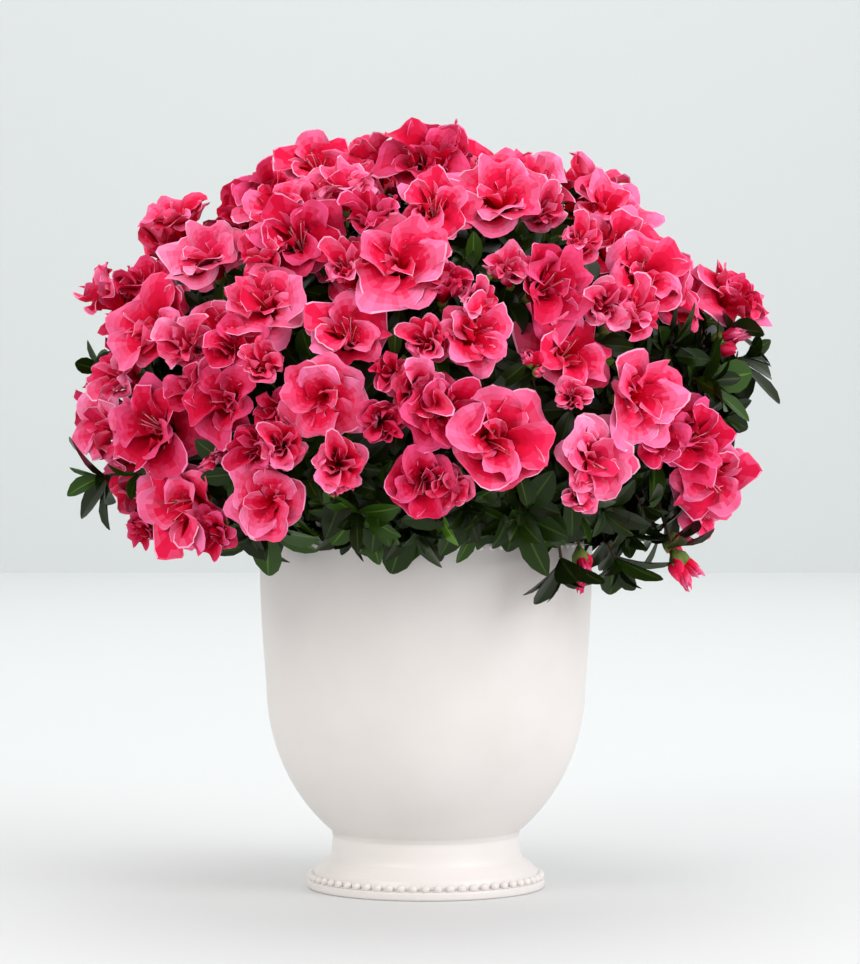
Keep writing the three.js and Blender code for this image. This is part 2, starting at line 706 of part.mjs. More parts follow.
const grown = allMasses().map((mass, index) => {
  const shoots = shootsOf(mass, index + 1);
  return { mass, shoots, chance: new Chance(index + LEAF_SEED), pieces: [], bough: boughs.get(mass.bough) };
});

// The stems leave each bough in the order that they turn away from its own direction.
for (const bough of boughs.values()) {
  const [, bend, tip] = boughPath(bough);
  const onward = tip.clone().sub(bend).normalize();
  const served = grown.filter((g) => g.bough === bough);
  for (const g of served) g.fork = forkOf(tip, g.shoots);
  const turn = (g) => g.fork.clone().sub(tip).normalize().angleTo(onward);
  served.sort((a, b) => turn(a) - turn(b));
  const hull = boughSolid(bough, GAP + FACET_ALLOWANCE);
  served.forEach((g, berth) => {
    const path = stemPath(bough, berth, g.fork);
    const stem = limb(path, STEM.baseRadius, STEM.tipRadius, STEM.sides, STEM.steps).subtract(hull);
    g.pieces.push(place(stem, "stem", g.mass));
  });
}

// Twigs come next, then the cores, the flowers and the leaves, each left out where it would touch another.
for (const g of grown) {
  for (const shoot of g.shoots) shoot.twig = twigPath(shoot, g.fork);
  g.kept = g.shoots.filter((shoot) => {
    const twig = cone(shoot.twig, TWIG.baseRadius, TWIG.tipRadius, TWIG.sides);
    if (!clear(twig, (other) => other.mass === g.mass)) return false;
    shoot.wood = place(twig, "twig", g.mass, shoot);
    g.pieces.push(shoot.wood);
    return true;
  });
}
for (const g of grown) {
  const cores = CORE.sizes.map((size) => coreSolid(g.fork, size));
  const core = cores.find((solid) => clear(solid, (other) => other.mass === g.mass));
  if (core) g.pieces.push(place(core, "core", g.mass));
}

// The largest flower that is clear of the rest, or none.
function flowerFor(shoot, seed) {
  const scales = shoot.kind === "bud" ? [1] : BLOOM_STEPS;
  for (const scale of scales) {
    const solid = shoot.kind === "bud" ? budSolid(shoot) : bloomSolid(shoot, scale, new Chance(seed));
    if (clear(solid, (other) => other.shoot === shoot)) return solid;
  }
  return undefined;
}

function bearsFlower(shoot) {
  return shoot.kind === "bloom" || shoot.kind === "bud";
}

for (const g of grown) {
  g.kept = g.kept.filter((shoot) => {
    const seed = Math.floor(g.chance.between(0, FLOWER_SEEDS));
    if (!bearsFlower(shoot)) return true;
    const flower = flowerFor(shoot, seed);
    if (flower) {
      g.pieces.push(place(flower, "flower", g.mass, shoot));
      return true;
    }
    g.pieces.splice(g.pieces.indexOf(shoot.wood), 1);
    placed.splice(placed.findIndex((piece) => piece.solid === shoot.wood), 1);
    return false;
  });
}
for (const g of grown) {
  for (const shoot of g.kept) {
    for (const leaf of leavesOf(shoot, g.chance)) {
      const solid = leafSolid(leaf);
      if (!clear(solid, (other) => other.shoot === shoot && other.kind !== "flower")) continue;
      g.pieces.push(place(solid, "leaf", g.mass, shoot));
    }
  }
}

// A skin is sound when every edge still borders two faces after corners closer than a micron are joined.
function sound(solid) {
  const { vertProperties, triVerts, numProp } = solid.getMesh();
  const names = [];
  for (let i = 0; i < vertProperties.length; i += numProp) {
    names.push([0, 1, 2].map((k) => Math.round(vertProperties[i + k] / MICRON)).join());
  }
  const edges = new Map();
  for (let i = 0; i < triVerts.length; i += 3) {
    const corners = [0, 1, 2].map((k) => names[triVerts[i + k]]);
    if (new Set(corners).size < 3) continue;
    corners.forEach((corner, k) => {
      const edge = [corner, corners[(k + 1) % 3]].sort().join(" ");
      edges.set(edge, (edges.get(edge) ?? 0) + 1);
    });
  }
  return [...edges.values()].every((uses) => uses === 2);
}

// Each mass fused into one solid: loose scraps dropped, and a leaf fewer for as long as the skin isn't sound.
for (const g of grown) {
  let fused;
  do {
    const bodies = wasm.Manifold.union(g.pieces).decompose();
    bodies.sort((a, b) => b.volume() - a.volume());
    fused = bodies[0].simplify(FINEST);
    g.pieces.pop();
  } while (!sound(fused));
  add(`foliage_${g.mass.bough}_${g.mass.tier}`, fused, "blossom");
}

export default shrub;
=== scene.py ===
"""A potted azalea shrub in full flower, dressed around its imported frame.

Sizes are in millimetres and angles in degrees, and each mesh is turned to metres as it is made.
The front is towards -Y, and the origin is the middle of the underside of the pot's foot.
"""

import logging
import math
from collections import defaultdict
from dataclasses import dataclass, field
from enum import Enum

import bmesh
import bpy
import numpy as np
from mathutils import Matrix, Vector, noise


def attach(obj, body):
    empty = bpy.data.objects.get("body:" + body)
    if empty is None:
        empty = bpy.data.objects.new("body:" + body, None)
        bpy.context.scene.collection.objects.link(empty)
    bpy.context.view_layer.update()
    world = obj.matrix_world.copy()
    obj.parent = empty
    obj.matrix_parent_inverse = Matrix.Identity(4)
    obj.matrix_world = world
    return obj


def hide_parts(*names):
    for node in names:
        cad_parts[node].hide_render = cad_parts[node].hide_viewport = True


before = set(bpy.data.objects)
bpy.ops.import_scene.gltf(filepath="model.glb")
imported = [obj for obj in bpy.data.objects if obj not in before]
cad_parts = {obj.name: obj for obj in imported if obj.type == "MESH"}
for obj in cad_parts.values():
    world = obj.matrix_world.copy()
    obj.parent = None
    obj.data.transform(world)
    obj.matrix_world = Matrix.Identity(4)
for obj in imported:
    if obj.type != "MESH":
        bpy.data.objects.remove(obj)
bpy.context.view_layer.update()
BODY = "root"

MM = 0.001
SAME_POINT = 0.001
FULL_TURN = 2 * math.pi
UPRIGHT = 0.9
UP = Vector((0, 0, 1))
FRONT = Vector((0, -1, 0))

log = logging.getLogger("azalea")


class Chance:
    """Seeded numbers, the same sequence each run and in the source of the solids."""

    SPAN = 2**32
    LEAST = 0.001

    def __init__(self, seed: int) -> None:
        """Starts the sequence that belongs to a seed."""
        self.state = (seed * 7919 + 104729) % self.SPAN
        self.next()

    def next(self) -> float:
        """Returns the next number, from 0 up to 1."""
        self.state = (self.state * 1664525 + 1013904223) % self.SPAN
        return self.state / self.SPAN

    def between(self, low: float, high: float) -> float:
        """Returns the next number, from low up to high."""
        return low + (high - low) * self.next()

    def spread(self, amount: float) -> float:
        """Returns the next number, as far as amount to either side of nothing."""
        return self.between(-amount, amount)

    def index(self, count: int) -> int:
        """Returns one of the numbers from 0 to one less than count."""
        return int(self.between(0, count - self.LEAST))

    def scattered(self, direction: Vector, amount: float) -> Vector:
        """Returns a direction turned a little at random."""
        shift = Vector((self.spread(1), self.spread(1), self.spread(1)))
        return (direction + shift * amount).normalized()

    def pick(self, shares: dict[int, float]) -> int:
        """Picks one of some keys.

        Args:
            shares: Each key's share of the whole.

        Returns:
            The key, each one as often as its share says.
        """
        mark = self.between(0, sum(shares.values()))
        for key, share in shares.items():
            mark -= share
            if mark <= 0:
                return key
        return key


def linear(colour: str) -> tuple[float, float, float, float]:
    """Turns an sRGB hex colour to the linear one that shaders use, with an alpha of 1."""
    parts = [int(colour[k : k + 2], 16) / 255 for k in (1, 3, 5)]
    return (*[p / 12.92 if p <= 0.04045 else ((p + 0.055) / 1.055) ** 2.4 for p in parts], 1.0)


def node(
    tree: bpy.types.NodeTree, kind: str, settings: dict | None = None, links: dict | None = None
) -> bpy.types.Node:
    """Adds a node to a tree.

    Args:
        tree: The material's or the world's node tree.
        kind: The node's type name.
        settings: A value for each input or property that isn't left as it is.
        links: The output that each linked input reads.

    Returns:
        The new node.
    """
    made = tree.nodes.new(kind)
    for name, value in (settings or {}).items():
        if isinstance(name, int) or name in made.inputs:
            made.inputs[name].default_value = value
        else:
            setattr(made, name, value)
    for name, source in (links or {}).items():
        tree.links.new(source, made.inputs[name])
    return made


def new_material(name: str) -> tuple[bpy.types.Material, bpy.types.NodeTree]:
    """Makes an empty node material.

    Args:
        name: Its name.

    Returns:
        The material and its node tree.
    """
    material = bpy.data.materials.new(name)
    material.use_nodes = True
    material.node_tree.nodes.clear()
    return material, material.node_tree


def finish_material(
    tree: bpy.types.NodeTree,
    settings: dict,
    links: dict | None = None,
    colours: tuple[str, str] | None = None,
    share: bpy.types.NodeSocket | None = None,
) -> None:
    """Adds the Principled shader and wires it to the material's output.

    Args:
        tree: The material's node tree.
        settings: A value for each input of the shader that isn't left as it is.
        links: The output that each linked input reads.
        colours: Two hex colours that the base colour is mixed from, if it isn't plain.
        share: The pattern that says how much of the second colour there is.
    """
    links = dict(links or {})
    if colours:
        ramp = node(tree, "ShaderNodeValToRGB", links={"Fac": share})
        for element, colour in zip(ramp.color_ramp.elements, colours):
            element.color = linear(colour)
        links["Base Color"] = ramp.outputs["Color"]
    shader = node(tree, "ShaderNodeBsdfPrincipled", settings, links)
    node(tree, "ShaderNodeOutputMaterial", links={"Surface": shader.outputs["BSDF"]})


@dataclass(frozen=True)
class GlazedEarthenware:
    """White-glazed earthenware, thrown and dipped: a smooth glass coat that pools in the hollows."""

    name: str = "white_glazed_earthenware"
    light: str = "#eeeae6"
    pooled: str = "#e2dcd8"
    cloud_width: float = 45.0
    ripple_width: float = 16.0
    ripple_height: float = 0.3
    glossiest: float = 0.3
    dullest: float = 0.42
    glass_ior: float = 1.5

    def material(self) -> bpy.types.Material:
        """Makes the material: faint clouds, a satin gloss and a slow ripple from the thrower's hand.

        Returns:
            The material.
        """
        material, tree = new_material(self.name)
        place = node(tree, "ShaderNodeTexCoord").outputs["Object"]
        cloud, ripple = (
            node(tree, "ShaderNodeTexNoise", {"Scale": 1 / (wide * MM), "Detail": finer}, {"Vector": place})
            for wide, finer in ((self.cloud_width, 3.0), (self.ripple_width, 1.0))
        )
        cloudy = cloud.outputs["Fac"]
        span = {"From Min": 0.3, "From Max": 0.7, "To Min": self.glossiest, "To Max": self.dullest}
        gloss = node(tree, "ShaderNodeMapRange", span, {"Value": cloudy})
        depth = {"Strength": 0.1, "Distance": self.ripple_height * MM}
        bump = node(tree, "ShaderNodeBump", depth, {"Height": ripple.outputs["Fac"]})
        links = {"Roughness": gloss.outputs["Result"], "Normal": bump.outputs["Normal"]}
        finish_material(tree, {"IOR": self.glass_ior}, links, (self.pooled, self.light), cloudy)
        return material


@dataclass(frozen=True)
class RoughFinish:
    """A dull finish in two colours with a relief, both from one pattern on the piece's own coordinates.

    The colours are those of its hollows and of what stands out, and drawn_out under 1 makes grains long.
    """

    name: str
    low: str
    high: str
    grain_width: float
    drawn_out: float
    detail: float
    strength: float
    height: float
    roughness: float

    def material(self) -> bpy.types.Material:
        """Makes the material, whose colours and relief follow one pattern.

        Returns:
            The material.
        """
        material, tree = new_material(self.name)
        place = node(tree, "ShaderNodeTexCoord").outputs["Object"]
        if self.drawn_out != 1:
            scale = {"Scale": (1.0, 1.0, self.drawn_out)}
            place = node(tree, "ShaderNodeMapping", scale, {"Vector": place}).outputs["Vector"]
        pattern = {"Scale": 1 / (self.grain_width * MM), "Detail": self.detail}
        grain = node(tree, "ShaderNodeTexNoise", pattern, {"Vector": place}).outputs["Fac"]
        relief = {"Strength": self.strength, "Distance": self.height * MM}
        bump = node(tree, "ShaderNodeBump", relief, {"Height": grain})
        links = {"Normal": bump.outputs["Normal"]}
        finish_material(tree, {"Roughness": self.roughness}, links, (self.low, self.high), grain)
        return material


# Moist peat mix: dark crumbs and fibres, dull, and a little lighter where it has dried.
PEAT_MIX = RoughFinish("moist_peat_mix", "#20160f", "#4d3826", 3.0, 1.0, 6.0, 0.9, 1.2, 0.93)
# Thin azalea bark: grey-brown, finely split along the limb, with paler ridges.
WOODY_BARK = RoughFinish("grey_brown_bark", "#35281e", "#7d6754", 1.6, 0.28, 4.0, 0.7, 0.6, 0.82)


@dataclass(frozen=True)
class LivingTissue:
    """One tint of petal, leaf or green twig: a plain colour, since tints are dealt out by spray and zone.

    A petal is downy and dull, so its gloss is weak and wide. A leaf has a waxy skin, so its gloss is tight.
    """

    name: str
    colour: tuple[float, ...]
    roughness: float = 0.55
    gloss: float = 0.3

    def material(self) -> bpy.types.Material:
        """Makes the material on the shader's own sockets.

        Returns:
            The material.
        """
        material, tree = new_material(self.name)
        looks = {"Base Color": self.colour, "Roughness": self.roughness, "Specular IOR Level": self.gloss}
        finish_material(tree, looks)
        return material


@dataclass(frozen=True)
class PetalTints:
    """The colours along a petal of one family of blooms, from its throat to its ruffled rim. The throat is
    the bloom's own deep red, set brighter to stand in for light shining through the petals there: partly a
    painted glow.
    """

    family: str
    throat: str
    middle: str
    outer: str
    rim: str

    def ramp(self, count: int) -> list[tuple[float, ...]]:
        """Returns linear colours in even steps from the throat to the outer part, and then the rim's.

        Args:
            count: How many colours there are in all.

        Returns:
            The colours, the rim's last.
        """
        low, middle, high = (np.array(linear(c)) for c in (self.throat, self.middle, self.outer))
        steps = [
            low + (middle - low) * min(1, 2 * t) + (high - middle) * max(0, 2 * t - 1)
            for t in np.linspace(0, 1, count - 1)
        ]
        return [tuple(step) for step in steps] + [linear(self.rim)]


@dataclass(frozen=True)
class LeafTints:
    """The colours of the leaves of one spray: the blade's and the rib's."""

    family: str
    blade: str
    rib: str


# Each family is a copy of one petal colour: hot is the plain one, deep is darker and pale is lighter and
# more lilac. They are partly the blooms' own differences, and partly painted shade (deep) and painted
# highlight (pale), dealt out by spray.
PETAL_TINTS = (
    PetalTints("hot", "#d60020", "#e81e4e", "#fa82b4", "#ffaed0"),
    PetalTints("deep", "#b4001a", "#d00e3a", "#ec568c", "#f88cba"),
    PetalTints("pale", "#de0836", "#f0346a", "#fc98c4", "#ffbcda"),
)
LEAF_TINTS = (
    LeafTints("deep", "#19250a", "#2e3e14"),
    LeafTints("dark", "#20330c", "#3a541b"),
    LeafTints("mid", "#2c4911", "#4c6d23"),
    LeafTints("olive", "#40581a", "#64802c"),
    LeafTints("fresh", "#568226", "#84a644"),
)
PETAL_ZONES = 15
RIM_TINT = PETAL_ZONES - 1
LEAF_SHARES = {0: 0.42, 1: 0.32, 2: 0.17, 3: 0.06, 4: 0.03}
FLOWER_SHARES = {0: 0.5, 1: 0.24, 2: 0.26}
# Closed and half-open flowers, many sunk deeper into the crown, take mostly the darker deep tints and never
# the pale ones: painted shade.
SHADED_FLOWER_SHARES = {0: 0.3, 1: 0.7}
BLADE_TINT, RIB_TINT = 0, 1
WOOD_TINT, GREEN_TINT = 0, 1
FINE_TWIG = 24.0
STALK_END, STALK_START = 12.5, 23.0
LEAFY_BERTH = 22.0


@dataclass
class Palette:
    """Every finish on the object, each made once."""

    glaze: bpy.types.Material = field(default_factory=lambda: GlazedEarthenware().material())
    peat: bpy.types.Material = field(default_factory=PEAT_MIX.material)
    bark: bpy.types.Material = field(default_factory=WOODY_BARK.material)
    petals: list[bpy.types.Material] = field(default_factory=list)
    leaves: list[bpy.types.Material] = field(default_factory=list)
    twigs: list[bpy.types.Material] = field(default_factory=list)
    stamens: list[bpy.types.Material] = field(default_factory=list)
    petal_roughness: float = 0.6
    petal_gloss: float = 0.04
    leaf_gloss: float = 0.17
    blade_roughness: float = 0.3
    rib_roughness: float = 0.4

    def __post_init__(self) -> None:
        """Makes the plain tints of the living parts, family by family."""
        tissues = [
            (self.petals, f"petal_{tints.family}_{zone}", colour, self.petal_roughness, self.petal_gloss)
            for tints in PETAL_TINTS
            for zone, colour in enumerate(tints.ramp(PETAL_ZONES))
        ]
        for tints in LEAF_TINTS:
            for part, colour, roughness in (
                ("blade", tints.blade, self.blade_roughness),
                ("rib", tints.rib, self.rib_roughness),
            ):
                name = f"leaf_{tints.family}_{part}"
                tissues.append((self.leaves, name, linear(colour), roughness, self.leaf_gloss))
        tissues += [
            (self.twigs, "brown_twig", linear("#4a3527"), 0.8, 0.3),
            (self.twigs, "green_twig", linear("#6a7d36"), 0.6, 0.3),
            (self.stamens, "pale_filament", linear("#f59ab2"), 0.6, 0.2),
            (self.stamens, "brown_anther", linear("#7a4a3c"), 0.7, 0.2),
        ]
        for kept, *tissue in tissues:
            kept.append(LivingTissue(*tissue).material())


def add_object(name: str, data: bpy.types.ID) -> bpy.types.Object:
    """Adds an object to the scene.

    Args:
        name: Its name.
        data: The mesh, light or camera that it is made of.

    Returns:
        The object.
    """
    made = bpy.data.objects.new(name, data)
    bpy.context.scene.collection.objects.link(made)
    return made


@dataclass(frozen=True)
class Piece:
    """What a piece is called, its finishes, a material slot name that nothing here uses, and the solids
    that it stands for.
    """

    name: str
    materials: list[bpy.types.Material]
    slot: str
    nodes: list[str]

    def settle(self, mesh: bpy.types.Mesh) -> None:
        """Makes the piece, which rides on the body.

        Args:
            mesh: Its finished mesh, in metres.
        """
        made = add_object(self.name, mesh)
        for material in self.materials:
            mesh.materials.append(material)
        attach(made, BODY)
        if self.nodes:
            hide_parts(*self.nodes)
        log.info("%s: %d triangles", self.name, len(mesh.loops) - 2 * len(mesh.polygons))

    def settle_bmesh(self, bm: bmesh.types.BMesh) -> None:
        """Makes the piece of a smooth bmesh.

        Args:
            bm: The bmesh, in millimetres, which is freed.
        """
        bmesh.ops.scale(bm, vec=(MM, MM, MM), verts=bm.verts)
        for face in bm.faces:
            face.smooth = True
        mesh = bpy.data.meshes.new(self.name)
        bm.to_mesh(mesh)
        bm.free()
        self.settle(mesh)


@dataclass
class Template:
    """A small mesh that is copied many times: corners in millimetres, faces, and a tint for each face."""

    corners: np.ndarray
    loops: np.ndarray
    sizes: np.ndarray
    tints: np.ndarray

    @classmethod
    def read(cls, bm: bmesh.types.BMesh) -> "Template":
        """Reads a template.

        Args:
            bm: The bmesh that it is read from, which is freed.

        Returns:
            The template.
        """
        bm.verts.index_update()
        corners = np.array([v.co for v in bm.verts], float)
        loops = np.array([v.index for f in bm.faces for v in f.verts], int)
        sizes = np.array([len(f.verts) for f in bm.faces], int)
        tints = np.array([f.material_index for f in bm.faces], int)
        bm.free()
        return cls(corners, loops, sizes, tints)


class Heap:
    """Copies of templates, gathered to be joined into one piece."""

    def __init__(self) -> None:
        """Starts an empty heap."""
        self.copies: list[tuple[np.ndarray, ...]] = []
        self.count = 0

    def put(self, template: Template, corners: np.ndarray, shift: int = 0) -> None:
        """Adds a copy of a template.

        Args:
            template: The mesh that is copied.
            corners: Its corners in their new places, in millimetres.
            shift: How many tints further on the copy's tints are.
        """
        self.copies.append((corners, template.loops + self.count, template.sizes, template.tints + shift))
        self.count += len(corners)

    def stand(self, template: Template, matrix: np.ndarray, place: Vector, shift: int = 0) -> None:
        """Adds a copy of a template, turned and sized by a matrix, at a place."""
        self.put(template, template.corners @ matrix.T + np.array(place), shift)

    def settle(self, piece: Piece) -> None:
        """Joins the copies into one smooth piece.

        Args:
            piece: The piece's name, its finishes, one for each tint and its solids.
        """
        if not self.copies:
            return
        corners, loops, sizes, tints = (np.concatenate(parts) for parts in zip(*self.copies))
        mesh = bpy.data.meshes.new(piece.name)
        mesh.vertices.add(len(corners))
        mesh.vertices.foreach_set("co", (corners * MM).ravel())
        mesh.loops.add(len(loops))
        mesh.loops.foreach_set("vertex_index", loops)
        mesh.polygons.add(len(sizes))
        mesh.polygons.foreach_set("loop_start", np.cumsum(sizes) - sizes)
        mesh.polygons.foreach_set("material_index", tints)
        mesh.polygons.foreach_set("use_smooth", np.ones(len(sizes), bool))
        mesh.update(calc_edges=True)
        mesh.validate()
        piece.settle(mesh)


Point = tuple[float, float]


def polar(radius: float, angle: float, height: float) -> Vector:
    """Returns the point at a radius from the Z axis, an angle in radians and a height."""
    return Vector((radius * math.cos(angle), radius * math.sin(angle), height))


def curve_points(path: list[Vector | Point], shares: np.ndarray) -> tuple[np.ndarray, np.ndarray]:
    """Returns the points and directions of the curve from the first point of a path to its last.

    Args:
        path: The start, the point that the curve is drawn towards, and the end.
        shares: How far along each point is, from 0 to 1.

    Returns:
        The points, and the unit directions there.
    """
    start, bend, end = (np.array(p, float) for p in path)
    t = shares[:, None]
    points = start * (1 - t) ** 2 + bend * 2 * t * (1 - t) + end * t**2
    ways = (bend - start) * (1 - t) + (end - bend) * t
    return points, ways / np.linalg.norm(ways, axis=1, keepdims=True)


def turned(profile: list[Point], steps: int) -> bmesh.types.BMesh:
    """Turns a section about the Z axis.

    Args:
        profile: The section's points as radius and height, from axis to axis or back to the first one.
        steps: How many steps the turn takes.

    Returns:
        A closed bmesh with its faces pointing out.
    """
    bm = bmesh.new()
    points = [bm.verts.new((radius, 0, height)) for radius, height in profile]
    lines = [bm.edges.new(pair) for pair in zip(points, points[1:])]
    spin = {"cent": (0, 0, 0), "axis": (0, 0, 1), "angle": FULL_TURN, "steps": steps, "use_merge": True}
    bmesh.ops.spin(bm, geom=points + lines, **spin)
    bmesh.ops.remove_doubles(bm, verts=bm.verts, dist=SAME_POINT)
    bmesh.ops.recalc_face_normals(bm, faces=bm.faces)
    return bm


@dataclass
class Pot:
    """The footed pot: a beaded foot plate, a short neck, a deep bowl and a beaded rim."""

    height: float = 192.0
    rim_radius: float = 90.0
    rim_lip: float = 2.6
    inner_lip: float = 2.4
    waist_radius: float = 86.5
    waist_height: float = 110.0
    bowl_depth: float = 98.0
    bowl_rows: int = 34
    wall: float = 6.0
    wall_rows: int = 16
    floor_height: float = 38.0
    floor_cove: float = 4.0
    joint_height: float = 29.5
    joint_cove: float = 5.5
    neck_radius: float = 50.0
    neck_foot: float = 53.0
    neck_bend: float = 17.5
    step_height: float = 15.5
    step_rise: float = 4.4
    ledge_width: float = 3.8
    foot_radius: float = 64.5
    foot_edge: float = 4.6
    foot_round: float = 1.6
    foot_ring: float = 6.0
    foot_hollow: float = 0.8
    bowl_end: float = 8.0
    bowl_crowding: float = 1.5
    full_width_below_rim: float = 15.0
    bead_radius: float = 2.2
    foot_beads: int = 60
    foot_bead_rise: float = 1.6
    rim_beads: int = 96
    rim_bead_drop: float = 4.6
    steps: int = 128

    def bowl_radius(self, z: float) -> float:
        """Returns the outer radius of the bowl at a height.

        Args:
            z: The height.

        Returns:
            The radius, which grows along an ellipse to the waist and then little by little to the rim.
        """
        if z < self.waist_height:
            return self.waist_radius * math.sqrt(1 - ((self.waist_height - z) / self.bowl_depth) ** 2)
        full_width = self.height - self.full_width_below_rim
        share = min(1.0, (z - self.waist_height) / (full_width - self.waist_height))
        return self.waist_radius + (self.rim_radius - self.waist_radius) * math.sin(share * math.pi / 2)

    def arc(self, start: Point, bend: Point, end: Point, count: int) -> list[Point]:
        """Returns points on a smooth curve from start to end that is drawn towards bend, in count steps."""
        points, _ = curve_points([start, bend, end], np.linspace(0, 1, count + 1))
        return [tuple(point) for point in points]

    def outside(self) -> list[Point]:
        """Lays out the section of the outer face.

        Returns:
            Its points, from the middle of the underside to the rim's top.
        """
        foot, edge, joint, neck = self.foot_radius, self.foot_edge, self.joint_height, self.neck_radius
        rim, top = self.rim_radius, self.height
        ledge = foot - self.ledge_width
        cove = joint - self.joint_cove
        span = top - self.bowl_end - joint
        shares = [(k / self.bowl_rows) ** self.bowl_crowding for k in range(self.bowl_rows + 1)]
        heights = [joint + 1 + span * share for share in shares]
        step = (self.neck_foot, self.step_height)
        return [
            (0, self.foot_hollow),
            (foot - self.foot_ring - 1, self.foot_hollow),
            (foot - self.foot_ring, 0),
            *self.arc((foot - self.foot_round, 0), (foot, 0), (foot, self.foot_round), 4),
            *self.arc((foot, 3.4), (foot, edge), (foot - 1.4, edge), 4),
            (ledge, edge + 0.6),
            *self.arc((ledge, edge + self.step_rise), (step[0] + 4, step[1] - 2.4), step, 6),
            *self.arc((step[0] - 0.4, step[1] + 0.8), (neck + 1.4, self.neck_bend), (neck + 1, cove), 8),
            *self.arc((neck + 0.9, cove + 1), (neck, joint - 0.8), (neck + 1, joint - 0.4), 4),
            *[(self.bowl_radius(z), z) for z in heights],
            (rim + 0.1, top - self.rim_bead_drop),
            *self.arc((rim, top - 2.5), (rim - 0.4, top), (rim - self.rim_lip, top), 5),
        ]

    def inside(self) -> list[Point]:
        """Lays out the section of the inner face.

        Returns:
            Its points, from the rim's top to the middle of the floor.
        """
        inner_rim = self.rim_radius - self.wall
        top = self.height - self.wall
        drop = top - self.floor_height - self.wall
        heights = [top - drop * k / self.wall_rows for k in range(self.wall_rows + 1)]
        floor_radius = self.bowl_radius(self.floor_height) - self.wall - self.floor_cove
        lip = (inner_rim + self.inner_lip, self.height)
        return [
            *self.arc(lip, (inner_rim, self.height), (inner_rim, self.height - 3), 5),
            *[(self.bowl_radius(z) - self.wall, z) for z in heights],
            (floor_radius, self.floor_height),
            (0, self.floor_height),
        ]

    def beads(self, count: int, radius: float, height: float) -> bmesh.types.BMesh:
        """Makes a ring of round beads, half sunk in the ware.

        Args:
            count: How many beads there are.
            radius: The ring's radius.
            height: The ring's height.

        Returns:
            The beads together.
        """
        bm = bmesh.new()
        for k in range(count):
            made = bmesh.ops.create_icosphere(bm, subdivisions=2, radius=self.bead_radius)
            bmesh.ops.translate(bm, vec=polar(radius, FULL_TURN * k / count, height), verts=made["verts"])
        return bm

    def build(self, palette: Palette) -> None:
        """Makes the pot and its two rings of beads.

        Args:
            palette: The finishes.
        """
        ware = turned([*self.outside(), *self.inside()], self.steps)
        foot_height = self.foot_edge + self.foot_bead_rise
        foot = self.beads(self.foot_beads, self.foot_radius - self.bead_radius, foot_height)
        rim_height = self.height - self.rim_bead_drop
        rim = self.beads(self.rim_beads, self.rim_radius - self.bead_radius / 2, rim_height)
        for bm, name, nodes in (
            (ware, "glazed_pot", ["pot"]),
            (foot, "pot_foot_beads", []),
            (rim, "pot_rim_beads", []),
        ):
            Piece(name, [palette.glaze], "white_glaze", nodes).settle_bmesh(bm)


@dataclass
class PottingMix:
    """The mix in the pot: a low crumbly mound that falls to the wall, with loose crumbs on it."""

    pot: Pot
    top: float = 178.0
    edge_drop: float = 3.0
    steps: int = 120
    rings: int = 34
    clearance: float = 0.6
    side_rows: int = 8
    side_inset: float = 8.0
    bottom_cove: float = 12.0
    relief: float = 1.3
    lump_width: float = 7.0
    lumpy_edge: float = 1.0
    crumbs: int = 420
    crumb_sizes: tuple[float, float] = (0.8, 2.4)
    crumb_reach: float = 0.97
    crumb_relief: float = 0.4
    crumb_grain: float = 1.7
    crumb_stand: float = 0.3
    seed: int = 7

    def surface(self, radius: float) -> float:
        """Returns the height of the smooth mound at a radius."""
        share = radius / (self.pot.rim_radius - self.pot.wall)
        return self.top - self.edge_drop * share**3

    def reach(self, z: float) -> float:
        """Returns the mix's radius at a height, just clear of the pot's wall."""
        return self.pot.bowl_radius(z) - self.pot.wall - self.clearance

    def mound(self) -> bmesh.types.BMesh:
        """Makes the mound with its lumps.

        Returns:
            The closed mound.
        """
        edge = self.reach(self.top)
        shoulder = self.top - self.edge_drop
        top = [(edge * k / self.rings, self.surface(edge * k / self.rings)) for k in range(self.rings + 1)]
        lowest = self.pot.floor_height + self.side_inset
        side = [(self.reach(z), z) for z in np.linspace(shoulder - self.side_inset, lowest, self.side_rows)]
        bottom = self.pot.floor_height + self.clearance
        bm = turned([*top, *side, (side[-1][0] - self.bottom_cove, bottom), (0, bottom)], self.steps)
        for vert in bm.verts:
            if vert.co.z > shoulder - self.lumpy_edge:
                vert.co.z += self.relief * noise.fractal(vert.co / self.lump_width, 1.0, 2.0, 4)
        return bm

    def loose_crumbs(self) -> bmesh.types.BMesh:
        """Makes the loose crumbs, each a lumpy ball that rests on the mound.

        Returns:
            The crumbs together.
        """
        chance = Chance(self.seed)
        edge = self.reach(self.top)
        bm = bmesh.new()
        for _ in range(self.crumbs):
            size = chance.between(*self.crumb_sizes)
            radius = edge * math.sqrt(chance.next()) * self.crumb_reach
            angle = chance.between(0, FULL_TURN)
            made = bmesh.ops.create_icosphere(bm, subdivisions=1, radius=size)
            for vert in made["verts"]:
                spot = vert.co * self.crumb_grain + Vector((radius, angle, size))
                vert.co *= 1 + self.crumb_relief * noise.noise(spot)
            place = polar(radius, angle, self.surface(radius) + self.crumb_stand * size)
            bmesh.ops.translate(bm, vec=place, verts=made["verts"])
        return bm

    def build(self, palette: Palette) -> None:
        """Makes the mound and its crumbs."""
        Piece("peat_mound", [palette.peat], "potting_mix", ["potting_mix"]).settle_bmesh(self.mound())
        Piece("peat_crumbs", [palette.peat], "potting_mix", []).settle_bmesh(self.loose_crumbs())


